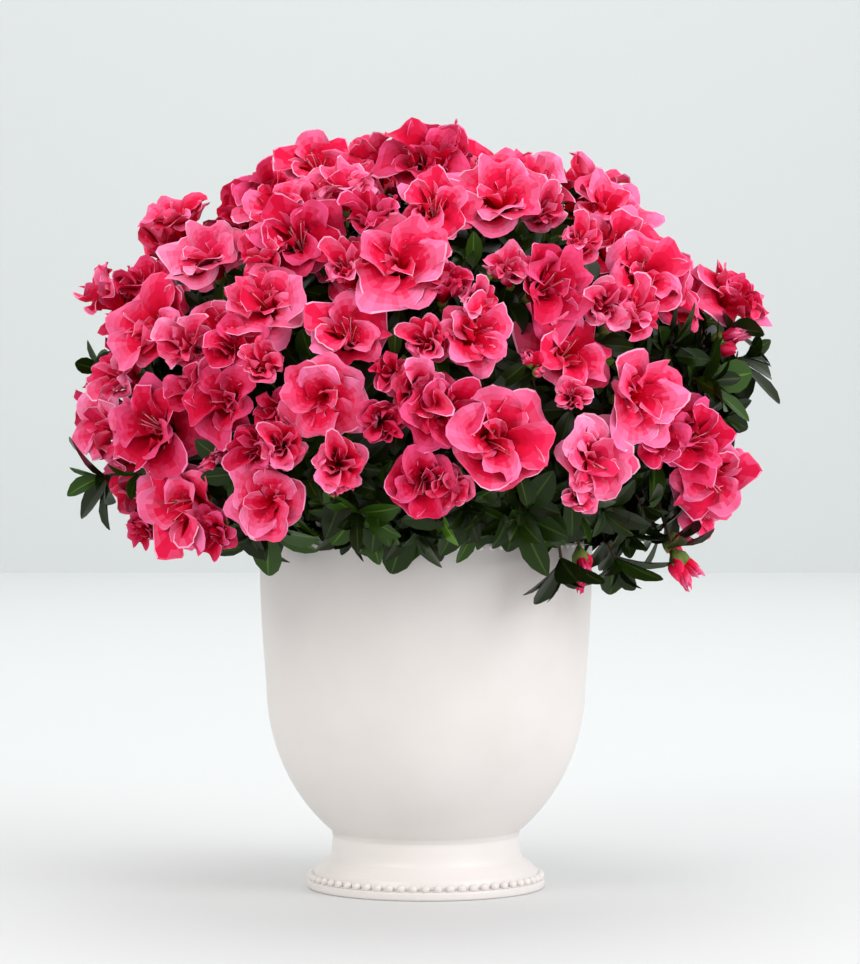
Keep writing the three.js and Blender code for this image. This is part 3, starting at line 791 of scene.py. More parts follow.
def new_stick(sides: int, rings: int, base: float = 1.0, tip: float = 1.0) -> bmesh.types.BMesh:
    """Makes a closed upright stick from height 0 to 1, cut across so that it can be bent.

    Args:
        sides: How many sides it has.
        rings: How many rings it is cut into.
        base: Its radius at its foot.
        tip: Its radius at its top.

    Returns:
        A bmesh with nothing else in it.
    """
    bm = bmesh.new()
    bmesh.ops.create_cone(bm, cap_ends=True, segments=sides, radius1=base, radius2=tip, depth=1)
    bmesh.ops.translate(bm, vec=(0, 0, 0.5), verts=bm.verts)
    uprights = [edge for edge in bm.edges if abs(edge.verts[0].co.z - edge.verts[1].co.z) > 0.5]
    bmesh.ops.subdivide_edges(bm, edges=uprights, cuts=rings - 1)
    return bm


def bent(template: Template, path: list[Vector], radii: np.ndarray) -> np.ndarray:
    """Bends a round stick along a path.

    Args:
        template: The stick, of unit radius and height.
        path: The start, the point that the curve is drawn towards, and the end.
        radii: The radius at each corner of the stick, in millimetres.

    Returns:
        The corners in their new places.
    """
    points, ways = curve_points(path, template.corners[:, 2])
    chord = path[2] - path[0]
    level = np.array(UP if abs(chord.z) < UPRIGHT * chord.length else FRONT)
    right = np.cross(ways, level)
    right /= np.linalg.norm(right, axis=1, keepdims=True)
    above = np.cross(right, ways)
    return points + (right * template.corners[:, :1] - above * template.corners[:, 1:2]) * radii[:, None]


@dataclass(frozen=True)
class BarkRelief:
    """How far a limb's bark stands out: fine ridges, long where drawn_out is under 1, on swellings."""

    ridge_height: float
    ridge_width: float
    swelling_height: float
    swelling_width: float
    drawn_out: float = 1.0

    def clothe(
        self,
        piece: Piece,
        stick: Template,
        path: list[Vector],
        radii: np.ndarray,
        grown: np.ndarray | float = 1,
    ) -> None:
        """Makes a piece of a limb with its bark.

        Args:
            piece: The piece's name, finish, slot and solid.
            stick: The round stick that the limb is bent from.
            path: The start, the point that the limb is drawn towards, and the end.
            radii: The smooth limb's radius at each corner of the stick.
            grown: How much of the relief there is at each corner.
        """
        relief = 0
        corners = bent(stick, path, radii)
        for height, width, drawn in (
            (self.ridge_height, self.ridge_width, self.drawn_out),
            (self.swelling_height, self.swelling_width, 1),
        ):
            spots = [Vector(corner) / width for corner in corners * (1, 1, drawn)]
            relief = relief + height * np.array([noise.fractal(spot, 1.0, 2.0, 3) for spot in spots])
        heap = Heap()
        heap.put(stick, bent(stick, path, radii + relief * grown))
        heap.settle(piece)


@dataclass
class Bough:
    """One tapering limb, from inside the trunk to its tip."""

    name: str
    path: list[Vector]
    base_radius: float = 4.3
    tip_radius: float = 2.9
    collar: float = 0.16
    collar_fade: float = 12.0
    bark: BarkRelief = BarkRelief(0.55, 5.0, 0.5, 18.0)

    def onward(self) -> Vector:
        """Returns the direction that the bough grows in at its tip."""
        return (self.path[2] - self.path[1]).normalized()

    def build(self, stick: Template, palette: Palette) -> None:
        """Makes the limb with the relief of its bark.

        Args:
            stick: The round stick that it is bent from.
            palette: The finishes.
        """
        share = stick.corners[:, 2]
        radii = self.base_radius + (self.tip_radius - self.base_radius) * share
        radii = radii * (1 + self.collar * np.exp(-share * self.collar_fade))
        piece = Piece(f"bough_bark_{self.name}", [palette.bark], "bark", [f"bough_{self.name}"])
        self.bark.clothe(piece, stick, self.path, radii)


@dataclass
class Trunk:
    """The short leaning stem with its root flare, from its flat cut on the mix to its fork."""

    foot: float = 178.3
    radius: float = 9.5
    taper: float = 2.2
    height: float = 44.0
    lean: float = 3.0
    flare: float = 15.0
    flare_fade: float = 5.0
    lobes: int = 3
    lobe_depth: float = 0.25
    sides: int = 36
    rings: int = 30
    bark: BarkRelief = BarkRelief(0.9, 3.2, 0.8, 14.0, 0.35)
    smooth_foot: float = 0.125

    def build(self, palette: Palette) -> None:
        """Makes the trunk, whose bark grows out from the smooth cut at its foot.

        Args:
            palette: The finishes.
        """
        stick = Template.read(new_stick(self.sides, self.rings))
        share = stick.corners[:, 2]
        angle = np.arctan2(stick.corners[:, 0], stick.corners[:, 1])
        lobe = 1 - self.lobe_depth * (1 - np.cos(self.lobes * angle))
        radii = self.radius - self.taper * share + self.flare * (1 - share) ** self.flare_fade * lobe
        path = [Vector((self.lean * t, 0, self.foot + self.height * t)) for t in (0, 0.5, 1)]
        grown = np.minimum(1, share / self.smooth_foot)
        self.bark.clothe(Piece("trunk_bark", [palette.bark], "bark", ["trunk"]), stick, path, radii, grown)


class PetalShape(Enum):
    """The whorls of a double azalea bloom."""

    OUTER = "outer"
    INNER = "inner"
    PETALOID = "petaloid"


@dataclass(frozen=True)
class PetalForm:
    """The sizes of one petal, in millimetres and degrees.

    Attributes:
        section: Its middle line, as radius and height, from throat to tip.
        half_angles: Half its width, as seen from the bloom's axis, at even steps from throat to tip.
        across: How many faces it has across.
        along: How many it has along.
        ruffle: How far its rim waves.
        pleat: How deep its soft folds are.
        waves: How many waves its rim has to a radian.
        roundness: How much shorter its sides are than its middle line.
        lap: How far one side lies over the next petal.
    """

    section: tuple[tuple[float, float], ...]
    half_angles: tuple[float, ...]
    across: int
    along: int
    ruffle: float
    pleat: float
    waves: float
    roundness: float
    lap: float


PETAL_FORMS = {
    PetalShape.OUTER: PetalForm(
        section=((1.0, -10.0), (6.0, 8.0), (15.0, 17.5), (28.0, 11.0)),
        half_angles=(36, 39, 46, 54, 61, 63),
        across=16, along=13, ruffle=3.5, pleat=1.0, waves=4.4, roundness=0.35, lap=2.1,
    ),
    PetalShape.INNER: PetalForm(
        section=((0.8, -8.0), (5.0, 9.0), (11.0, 20.0), (23.5, 17.0)),
        half_angles=(36, 40, 47, 54, 60, 62),
        across=14, along=10, ruffle=3.5, pleat=0.9, waves=4.4, roundness=0.36, lap=2.0,
    ),
    PetalShape.PETALOID: PetalForm(
        section=((0.5, -4.0), (2.2, 8.0), (5.0, 15.0), (11.5, 18.5)),
        half_angles=(28, 42, 54, 62, 66, 64),
        across=8, along=6, ruffle=2.6, pleat=0.5, waves=4.0, roundness=0.38, lap=0.8,
    ),
}


@dataclass(frozen=True)
class BloomForm:
    """One form of bloom: how open it is, what stands in its middle, and how far its tips close."""

    name: str
    open: float
    inner: int
    petaloids: int
    stamens: int
    furl: float = 0.0


BLOOM_FORMS = (
    BloomForm("full_a", 1.0, 5, 3, 3),
    BloomForm("full_b", 1.0, 5, 4, 0),
    BloomForm("full_c", 0.95, 4, 4, 2),
    BloomForm("full_d", 1.08, 5, 2, 5),
    BloomForm("loose_a", 0.88, 4, 4, 1),
    BloomForm("loose_b", 0.78, 5, 3, 0),
    BloomForm("half_a", 0.55, 5, 3, 0),
    BloomForm("half_b", 0.38, 4, 2, 0),
)
FURLED_FORMS = (BloomForm("furled_a", 0.12, 3, 0, 0, 0.62), BloomForm("furled_b", 0.05, 2, 0, 0, 0.8))
FURLED_SIZE, FURLED_BASE = 0.46, 4.5
FULL_FORMS = range(0, 4)
OPEN_FORMS = range(2, 7)
CLOSED_FORMS = range(5, 8)
HALF_OPEN_FORMS = range(6, 8)


class BloomMaker:
    """Makes the templates of the blooms, each with petals of its own.

    RIPPLE and LOBELET are how strong the rim's second waves are and how much finer. CURLS are how far a
    side curls and how often.
    """

    RIM_SHARE = 0.02
    SCALLOP = 0.075
    DEEPEST_NOTCH = 0.09
    RIPPLE = (0.65, 2.1)
    LOBELET = (0.5, 1.9)
    LENGTHS = (0.82, 1.1)
    NODS = (-9, 11)
    TURN = 7
    TWIST = 12
    CUPS = (-1.6, 3.2)
    PLEATS = (6, 9)
    CURLS = {0: 0.35, 4: 0.25, 8: 0.2, -5: 0.2}
    CREASE = 0.9
    CREASE_WIDTH = 0.14
    NOTCH_WIDTH = 0.2
    RIMMED_SHARE = 0.75
    RIM_LEVEL = -0.2
    RIM_STEP = 0.5
    SHADES = (-3.0, 2.6)
    STREAK = 0.9
    FLECK = 2.0
    FLECK_WIDTH = 2.2
    CLOSED_DRAW_IN = 0.62
    CLOSED_RISE = 17.0

    def __init__(self, form: BloomForm, seed: int) -> None:
        """Keeps the form, and starts the bloom's own chances."""
        self.form = form
        self.chance = Chance(seed)
        self.bm = bmesh.new()

    def phase(self) -> float:
        """Returns an angle anywhere in a full turn."""
        return self.chance.between(0, FULL_TURN)

    def middle_line(
        self, petal: PetalForm, shares: np.ndarray, nod: float, longer: float
    ) -> tuple[np.ndarray, ...]:
        """Returns the middle line of a petal at shares of its length.

        Args:
            petal: The petal's sizes.
            shares: How far along each point is, from 0 to 1.
            nod: How much higher the tip stands.
            longer: How much longer the petal is.

        Returns:
            The radius and height there, and the two parts of the normal, which points into the bloom.
        """
        closed = 1 - self.form.open
        drawn_in = self.CLOSED_DRAW_IN * closed
        base, throat, shoulder, tip = (np.array(p, float) for p in petal.section)
        shoulder = shoulder * (longer * (1 - 0.7 * drawn_in), 1) + (0, 0.4 * nod + 4 * closed)
        reach = longer * (1 - drawn_in) * (1 - self.form.furl)
        tip = tip * (reach, 1) + (0, nod + self.CLOSED_RISE * closed)
        t = shares[:, None]
        s = 1 - t
        line = base * s**3 + throat * 3 * t * s**2 + shoulder * 3 * t**2 * s + tip * t**3
        way = (throat - base) * s**2 + (shoulder - throat) * 2 * t * s + (tip - shoulder) * t**2
        way /= np.linalg.norm(way, axis=1, keepdims=True)
        return line[:, 0], line[:, 1], -way[:, 1], way[:, 0]

    def relief(self, petal: PetalForm, u: np.ndarray, v: np.ndarray) -> tuple[np.ndarray, np.ndarray]:
        """Shapes a petal off its smooth form: ruffles, cup, crease, lap and a curled side.

        Args:
            petal: The petal's sizes.
            u: How far along the petal each corner is, from 0 to 1.
            v: How far aside each corner is, from -1 to 1.

        Returns:
            How far each corner stands off, and how much longer the petal is there.
        """
        chance = self.chance
        margin = (1 - (1 - np.abs(v) ** 2.6) * (1 - u**4)) * u**1.2
        round_petal = np.arctan2(0.9 * v, 1.7 * (u - 0.45))
        waves = petal.waves * chance.between(0.85, 1.15)
        (ripple, finer), (lobelet, smaller) = self.RIPPLE, self.LOBELET
        ruffle = np.sin(waves * round_petal + self.phase())
        ruffle = ruffle + ripple * margin * np.sin(finer * waves * round_petal + self.phase())
        cup = chance.between(*self.CUPS) * v**2 * u
        crease = -self.CREASE * np.exp(-((v / self.CREASE_WIDTH) ** 2)) * np.sin(math.pi * u)
        pleats = petal.pleat * np.sin(chance.between(*self.PLEATS) * v + self.phase()) * u**1.5
        lap = petal.lap * v * np.minimum(1, 1.6 * u)
        curled_side = 1 if chance.next() < 0.5 else -1
        curl = chance.pick(self.CURLS) * np.maximum(0, curled_side * v - 0.25) ** 2 * u**1.5
        lobes = np.sin(0.7 * waves * round_petal + self.phase())
        lobes = lobes + lobelet * np.sin(smaller * waves * round_petal + self.phase())
        notch = chance.between(-0.2, 1) * self.DEEPEST_NOTCH * np.exp(-((v / self.NOTCH_WIDTH) ** 2)) * u**6
        loose = 1 - 0.8 * self.form.furl
        stands_off = petal.ruffle * loose * ruffle * margin + cup + crease + pleats + lap + curl * loose
        return stands_off, 1 + self.SCALLOP * margin * lobes - notch

    def petal(self, petal: PetalForm, turn: float, lift: float) -> None:
        """Adds one petal.

        Args:
            petal: Its sizes.
            turn: How far round the axis it stands.
            lift: How much higher it stands than its form says.
        """
        chance = self.chance
        made = bmesh.ops.create_grid(self.bm, x_segments=petal.across, y_segments=petal.along, size=1.0)
        verts = made["verts"]
        grid = np.array([v.co for v in verts], float)
        column = np.rint((grid[:, 0] + 1) / 2 * petal.across).astype(int)
        row = np.rint((grid[:, 1] + 1) / 2 * petal.along).astype(int)
        edge = 1 - self.RIM_SHARE
        v = np.concatenate(([-1.0], np.linspace(-edge, edge, petal.across - 1), [1.0]))[column]
        u = np.concatenate((np.linspace(0, edge, petal.along), [1.0]))[row]
        reach = u * (1 - petal.roundness * np.abs(v) ** 2.3 * u**1.4)
        relief, scallop = self.relief(petal, u, v)
        longer = chance.between(*self.LENGTHS)
        nod = chance.between(*self.NODS) * (1 - self.form.furl)
        radius, height, inward, above = self.middle_line(petal, reach * scallop, nod, longer)
        radius = np.maximum(0.3, radius + inward * relief)
        height = height + above * relief + lift
        steps = np.linspace(0, 1, len(petal.half_angles))
        half = np.interp(u, steps, petal.half_angles) * chance.between(0.9, 1.05)
        angle = np.radians(turn + chance.spread(self.TURN) + half * v + chance.spread(self.TWIST) * u**2)
        places = np.column_stack((radius * np.cos(angle), radius * np.sin(angle), height))
        for vert, place in zip(verts, places):
            vert.co = place
        corner_rows = dict(zip(verts, row))
        corner_columns = dict(zip(verts, column))
        shade = chance.between(*self.SHADES)
        streaks = [shade + chance.spread(self.STREAK) for _ in range(petal.across)]
        rim_start = self.phase()
        rim_level = self.RIM_LEVEL if chance.next() < self.RIMMED_SHARE else 1
        faces = {face for vert in verts for face in vert.link_faces}
        for face in faces:
            face_row = min(corner_rows[vert] for vert in face.verts)
            face_column = min(corner_columns[vert] for vert in face.verts)
            lit = math.sin(rim_start + self.RIM_STEP * (face_row + face_column)) > rim_level
            fleck = self.FLECK * noise.noise(face.calc_center_median() / self.FLECK_WIDTH)
            streak = streaks[face_column] + fleck
            face.material_index = self.zone(petal, face_row, face_column, streak, lit)

    def zone(self, petal: PetalForm, row: int, column: int, streak: float, lit: bool) -> int:
        """Returns the tint of a petal's face.

        Args:
            petal: The petal's sizes.
            row: The face's row from the throat.
            column: Its column.
            streak: How much lighter that column's vein is.
            lit: Whether the rim is pale there.

        Returns:
            The number of the tint in its family.
        """
        on_rim = row == petal.along - 1 or (column in (0, petal.across - 1) and row > 0.4 * petal.along)
        if on_rim and lit:
            return RIM_TINT
        share = (row + 0.5) / petal.along
        aside = abs((column + 0.5) / petal.across * 2 - 1)
        level = (share - 0.2) * 14.5 + aside * share * 2.6 + streak * share
        return int(min(max(level, 0), RIM_TINT - 1))

    def build(self, size: float = 1.0, base: float = 0.0) -> Template:
        """Makes the whole bloom: outer whorl, inner whorl and petaloids.

        Args:
            size: Its size beside the form's.
            base: How much higher its middle stands.

        Returns:
            The bloom's template.
        """
        chance = self.chance
        for k in range(5):
            self.petal(PETAL_FORMS[PetalShape.OUTER], 72 * k, chance.spread(0.8))
        for k in range(self.form.inner):
            turn = 36 + 360 * k / self.form.inner + chance.spread(8)
            self.petal(PETAL_FORMS[PetalShape.INNER], turn, chance.spread(1.0))
        start = chance.between(0, 360)
        for k in range(self.form.petaloids):
            turn = start + 360 * k / self.form.petaloids + chance.spread(18)
            self.petal(PETAL_FORMS[PetalShape.PETALOID], turn, chance.between(-4.0, 1.0))
        bmesh.ops.scale(self.bm, vec=(size, size, size), verts=self.bm.verts)
        bmesh.ops.translate(self.bm, vec=(0, 0, base), verts=self.bm.verts)
        return Template.read(self.bm)


@dataclass(frozen=True)
class Bud:
    """A bud: petals furled in a spindle that stands on its green sepals."""

    length: float = 13.0
    radius: float = 3.7
    furls: int = 3
    furl_depth: float = 0.2
    spiral: float = 5.0
    sway: float = 1.2
    fullest: float = 0.8
    blunt: float = 0.75
    base_tint: float = 1.5
    tip_tint: float = 3.5
    # How many tints lighter the furls' edges are than the grooves: partly the petals' paler edges, partly
    # painted shade in the grooves.
    pale_edge_and_groove_shade: float = 4.0

    def template(self, seed: int) -> Template:
        """Makes the bud.

        Args:
            seed: The seed of the way that it leans.

        Returns:
            The bud's template.
        """
        bm = bmesh.new()
        bmesh.ops.create_uvsphere(bm, u_segments=18, v_segments=11, radius=1.0)
        lean = Chance(seed).between(0, FULL_TURN)

        def ridge(angle: float, t: float) -> float:
            """Returns how near a furled petal's edge is at an angle and a height, from 0 to 1."""
            return abs(math.cos(0.5 * (self.furls * angle + self.spiral * t + lean)))

        for vert in bm.verts:
            t = (vert.co.z + 1) / 2
            angle = math.atan2(vert.co.y, vert.co.x)
            swell = math.sin(math.pi * min(t, 0.999) ** self.fullest) ** self.blunt
            width = self.radius * swell * (1 + self.furl_depth * (2 * ridge(angle, t) - 1))
            if math.hypot(vert.co.x, vert.co.y) < 0.01:
                width = 0
            vert.co = polar(width, angle, self.length * t) + polar(self.sway * t * t, lean, 0)
        for face in bm.faces:
            middle = face.calc_center_median()
            t = middle.z / self.length
            near = ridge(math.atan2(middle.y, middle.x), t)
            # Lighter along the furled petals' edges and darker in the grooves between them: partly paler
            # edges, partly painted shade.
            face.material_index = int(self.base_tint + self.tip_tint * t + self.pale_edge_and_groove_shade * near)
        return Template.read(bm)


@dataclass(frozen=True)
class Calyx:
    """The green cup of five sepals that a bloom or bud stands in."""

    sepals: int = 5
    foot_radius: float = 1.1
    rim_radius: float = 3.6
    depth: float = 6.0
    below: float = 10.5
    point: float = 2.6
    notch: float = 0.8

    def template(self) -> Template:
        """Makes the cup, with a point at each sepal and a notch between two.

        Returns:
            The cup's template.
        """
        bm = bmesh.new()
        radii = {"radius1": self.foot_radius, "radius2": self.rim_radius}
        bmesh.ops.create_cone(bm, cap_ends=True, segments=2 * self.sepals, depth=self.depth, **radii)
        rim = [vert for vert in bm.verts if vert.co.z > 0]
        for k, vert in enumerate(sorted(rim, key=lambda v: math.atan2(v.co.y, v.co.x))):
            vert.co.z += self.point if k % 2 else -self.notch
        bmesh.ops.translate(bm, vec=(0, 0, -self.below), verts=bm.verts)
        for face in bm.faces:
            face.material_index = GREEN_TINT
        return Template.read(bm)


@dataclass(frozen=True)
class Stamen:
    """One stamen: a thin curved filament and its anther."""

    base_radius: float = 0.42
    tip_radius: float = 0.28
    root: float = -5.0
    height: float = 27.0
    aside: float = 1.0
    bow: float = 5.5
    sides: int = 4
    rings: int = 5
    anther_radius: float = 0.75
    anther: tuple[float, float, float] = (6.6, 0.0, 22.3)

    def template(self) -> Template:
        """Makes the stamen.

        Returns:
            The stamen's template.
        """
        bm = new_stick(self.sides, self.rings, self.base_radius, self.tip_radius)
        for vert in bm.verts:
            t = vert.co.z
            vert.co.x += self.aside + self.bow * t * t
            vert.co.z = self.height * t + self.root
        filament = set(bm.faces)
        made = bmesh.ops.create_icosphere(bm, subdivisions=1, radius=self.anther_radius)
        bmesh.ops.translate(bm, vec=self.anther, verts=made["verts"])
        for face in bm.faces:
            face.material_index = 0 if face in filament else 1
        return Template.read(bm)


@dataclass(frozen=True)
class LeafForm:
    """One form of leaf, of unit length: an elliptical blade folded at its rib, arched towards its tip."""

    half_width: float
    fold: float
    arch: float
    twist: float
    rib: float = 0.085
    stalk: float = 0.022
    fine_rows: int = 7
    plain_rows: int = 4

    def template(self, fine: bool) -> Template:
        """Makes the leaf, along X, with its top up Z.

        Args:
            fine: Whether it has its rib, for an outer spray, or is plain, for the inside of the crown.

        Returns:
            The leaf's template.
        """
        sides = (-1.0, -0.56, -self.rib, self.rib, 0.56, 1.0) if fine else (-1.0, 0.0, 1.0)
        rows = self.fine_rows if fine else self.plain_rows
        across = len(sides) - 1
        bm = bmesh.new()
        bmesh.ops.create_grid(bm, x_segments=across, y_segments=rows, size=1.0)
        columns = {}
        for vert in bm.verts:
            column = round((vert.co.x + 1) / 2 * across)
            u = (1 - math.cos(math.pi * (vert.co.y + 1) / 2)) / 2
            columns[vert] = column
            v = sides[column]
            width = max(self.half_width * math.sin(math.pi * min(u, 0.999) ** 1.2) ** 0.66, self.stalk)
            rise = (self.fold * abs(v) + self.twist * u * v) * width - self.arch * 0.24 * u * u
            vert.co = Vector((u * (1 - 0.04 * u * self.arch), v * width, rise))
        for face in bm.faces:
            middle = fine and {columns[v] for v in face.verts} == {2, 3}
            face.material_index = RIB_TINT if middle else BLADE_TINT
        return Template.read(bm)


LEAF_FORMS = (
    LeafForm(0.235, 0.3, 0.5, 0.1),
    LeafForm(0.22, 0.45, 0.8, -0.2),
    LeafForm(0.25, 0.2, 0.3, 0.25),
    LeafForm(0.215, 0.35, 1.1, 0.0),
)


@dataclass(frozen=True)
class Crown:
    """The squared dome that the flowers lie on, about its middle point."""

    x: float = -4.0
    y: float = 0.0
    z: float = 255.0
    reach: float = 187.0
    rise: float = 156.0
    drop: float = 125.0
    power: float = 2.2

    def half(self, up: float) -> float:
        """Returns the dome's half height, above or below its middle."""
        return self.rise if up > 0 else self.drop

    def level(self, p: Vector) -> float:
        """Returns how far out a point lies, 1 being on the surface."""
        up = p.z - self.z
        flat = math.hypot(p.x - self.x, p.y - self.y) / self.reach
        return (flat**self.power + (abs(up) / self.half(up)) ** self.power) ** (1 / self.power)

    def on_level(self, p: Vector, level: float) -> Vector:
        """Returns the point of a level that lies the same way from the middle."""
        middle = Vector((self.x, self.y, self.z))
        return middle + (p - middle) * (level / self.level(p))

    def around(self, azimuth: float, radius: float, height: float) -> Vector:
        """Returns the point at an angle round from the front, a radius and a height."""
        angle = math.radians(azimuth)
        return Vector((self.x + radius * math.sin(angle), self.y - radius * math.cos(angle), height))

    def point(self, azimuth: float, height: float, level: float) -> Vector:
        """Returns the point of a level at an angle and a height.

        Args:
            azimuth: The angle round from the front.
            height: The height.
            level: The level, 1 being the crown's surface.

        Returns:
            The point, on the axis where the level doesn't reach that height.
        """
        up = height - self.z
        flat = max(0.0, level**self.power - (abs(up) / self.half(up)) ** self.power) ** (1 / self.power)
        return self.around(azimuth, self.reach * flat, height)

    def outward(self, p: Vector) -> Vector:
        """Returns the direction that the crown's surface faces at a point.

        Args:
            p: The point.

        Returns:
            A unit direction.
        """
        up = p.z - self.z
        steepness = self.power - 1
        sideways = Vector((p.x - self.x, p.y - self.y, 0))
        flat = (sideways.length / self.reach) ** steepness / self.reach
        slope = sideways.normalized() * flat
        slope.z = math.copysign((abs(up) / self.half(up)) ** steepness / self.half(up), up)
        return slope.normalized()

    def beside(self, p: Vector, clock: float, distance: float, level: float) -> Vector:
        """Returns the point of a level beside another one.

        Args:
            p: The other point.
            clock: The way there as seen from outside, from the right and against the clock.
            distance: How far it is.
            level: The level.

        Returns:
            The point.
        """
        normal = self.outward(p)
        right = Vector((-(p.y - self.y), p.x - self.x, 0)).normalized()
        above = normal.cross(right)
        angle = math.radians(clock)
        way = right * math.cos(angle) + above * math.sin(angle)
        return self.on_level(p + way * distance, level)


class ShootKind(Enum):
    """What a shoot ends in."""

    BLOOM = "bloom"
    BUD = "bud"
    TIP = "tip"
    FRINGE = "fringe"


FOOT_DEPTHS = {ShootKind.BUD: 8.5, ShootKind.TIP: 8.0, ShootKind.FRINGE: 8.0}
BLOOM_FOOT_SHARE = 0.42


@dataclass
class Shoot:
    """The end of a twig: where it is, which way it faces and what it bears."""

    kind: ShootKind
    place: Vector
    facing: Vector
    radius: float = 0.0

    def foot(self) -> Vector:
        """Returns the point under the bloom, bud or leaves."""
        depth = FOOT_DEPTHS.get(self.kind, self.radius * BLOOM_FOOT_SHARE)
        return self.place - self.facing * depth


@dataclass(frozen=True)
class Plan:
    """One mass of foliage, as the source of the solids plans it.

    Attributes:
        at: Where the leading bloom is, in degrees round from the front and in height.
        size: That bloom's size, where 0 is none.
        blooms: The clock angle and distance of each flower beside it, and how far back it is set.
        tips: The same for each leafy tip, with the level of the crown that it reaches.
        buds: The same for each cluster of buds.
        level: The leading bloom's level.
    """

    at: tuple[float, float]
    size: float = 0.95
    blooms: tuple = ()
    tips: tuple = ()
    buds: tuple = ()
    level: float = 0.96


# The front masses stand where the photograph shows their leading blooms.
PLANS = {
    "left": {
        "skirt": Plan((-48, 206), 1.02, ((198, 98), (176, 52, 0.1)), ((172, 98, 0.97), (310, 40))),
        "waist": Plan((-52, 249), 0.98, ((181, 99), (182, 48, 0.09)), ((162, 126, 0.94),)),
        "shoulder": Plan((-55, 304), 1.04, ((162, 94), (150, 46, 0.1)), ((225, 48),)),
    },
    "front_left": {
        "skirt": Plan((-27, 210), 0.86, (), ((180, 36), (10, 44))),
        "waist": Plan((-16, 265), 0.94, ((180, 58),), ((265, 40), (85, 40))),
        "shoulder": Plan((-28, 314), 0.88, ((345, 50, 0.04),), ((185, 46), (250, 36))),
    },
    "front": {
        "skirt": Plan((1, 222), 0.78, (), ((315, 38), (225, 38)), ((178, 40),)),
        "waist": Plan((13, 244), 1.08, ((150, 48, 0.02),), ((50, 44),)),
        "shoulder": Plan((-3, 335), 1.08, ((313, 58),), ((18, 44), (265, 50))),
    },
    "front_right": {
        "skirt": Plan((31, 233), 0.9, (), ((290, 40), (225, 40)), ((126, 58),)),
        "waist": Plan((41, 266), 1.0, ((148, 46, 0.07),), ((100, 36),)),
        "shoulder": Plan((24, 322), 0.94, (), ((245, 36), (90, 40), (350, 44))),
    },
    "right": {
        "skirt": Plan((66, 221), 0.94, ((125, 42, 0.08), (325, 50)), ((240, 46),), ((290, 52),)),
        "waist": Plan(
            (68, 276), 0, (), ((0, 0, 0.94), (40, 50, 0.96), (335, 46, 0.92), (150, 30)), ((37, 36),)
        ),
        "shoulder": Plan((84, 322), 0.9, (), ((265, 34, 0.98),), ((232, 30),), 1.02),
    },
    "crown_left": {
        "upper_outer": Plan((-47, 342), 0.94, ((158, 100), (140, 52, 0.1)), ((95, 38),)),
        "upper": Plan((-25, 349), 0.88, ((350, 30, 0.13),), ((75, 40),)),
        "top": Plan((-51, 396), 0.86, ((245, 42, -0.01), (330, 44, 0.1)), ((290, 30),)),
    },
    "crown_right": {
        "upper_outer": Plan((49, 331), 0.96, ((63, 44, 0.07), (10, 58, 0.05)), ((165, 44),)),
        "top": Plan((21, 371), 1.06, (), ((235, 40), (340, 44))),
        "top_outer": Plan((72, 379), 0.92, ((130, 48), (330, 46, 0.05)), ((200, 34),)),
    },
    "crown_back": {
        "top_front": Plan((3, 391), 0.94, (), ((200, 36),)),
        "top_left": Plan((-118, 376), 0.95, ((20, 50, 0.06), (165, 48, 0.06)), ((270, 36),)),
        "top": Plan((178, 390), 0.95, ((205, 52),), ((245, 38),)),
        "summit": Plan((60, 402), 0.95, ((88, 66, 0.02), (150, 56, 0.04)), ((30, 44),)),
        "top_right": Plan((118, 374), 0.95, ((340, 46, 0.04), (170, 52, 0.06)), ((260, 36),)),
    },
}
SKIRT_FRINGE = {
    "left": ((-84, 0), (-60, 0)),
    "front_left": ((-34, 0), (-17, 6)),
    "front": ((-3, 4), (14, 2)),
    "front_right": ((37, 26), (57, 26)),
    "right": ((66, 8), (88, 4)),
}
BACK_FIRST, BACK_STEP, BACK_COUNT = 107, 36.5, 5
BACK_FRINGE = ((-10, 3), (9, 0))
BACK_BLOOMS = {
    "lower": (214, ((10, 54, 0.08), (88, 45, 0.08), (42, 76)), ((325, 40),)),
    "upper": (304, ((10, 54, 0.08), (80, 47, 0.06)), ((225, 40),)),
}
SIDE_BOUGHS = {
    "left": (-66, 256, 0),
    "front_left": (-26, 262, 1),
    "front": (4, 262, 2),
    "front_right": (34, 264, 0),
    "right": (72, 262, 1),
}


@dataclass(frozen=True)
class Flower:
    """One of the flowers between those of the solids: its place round the crown, its size and its form."""

    azimuth: float
    height: float
    size: float
    closed: bool = False
    level: float = 0.94


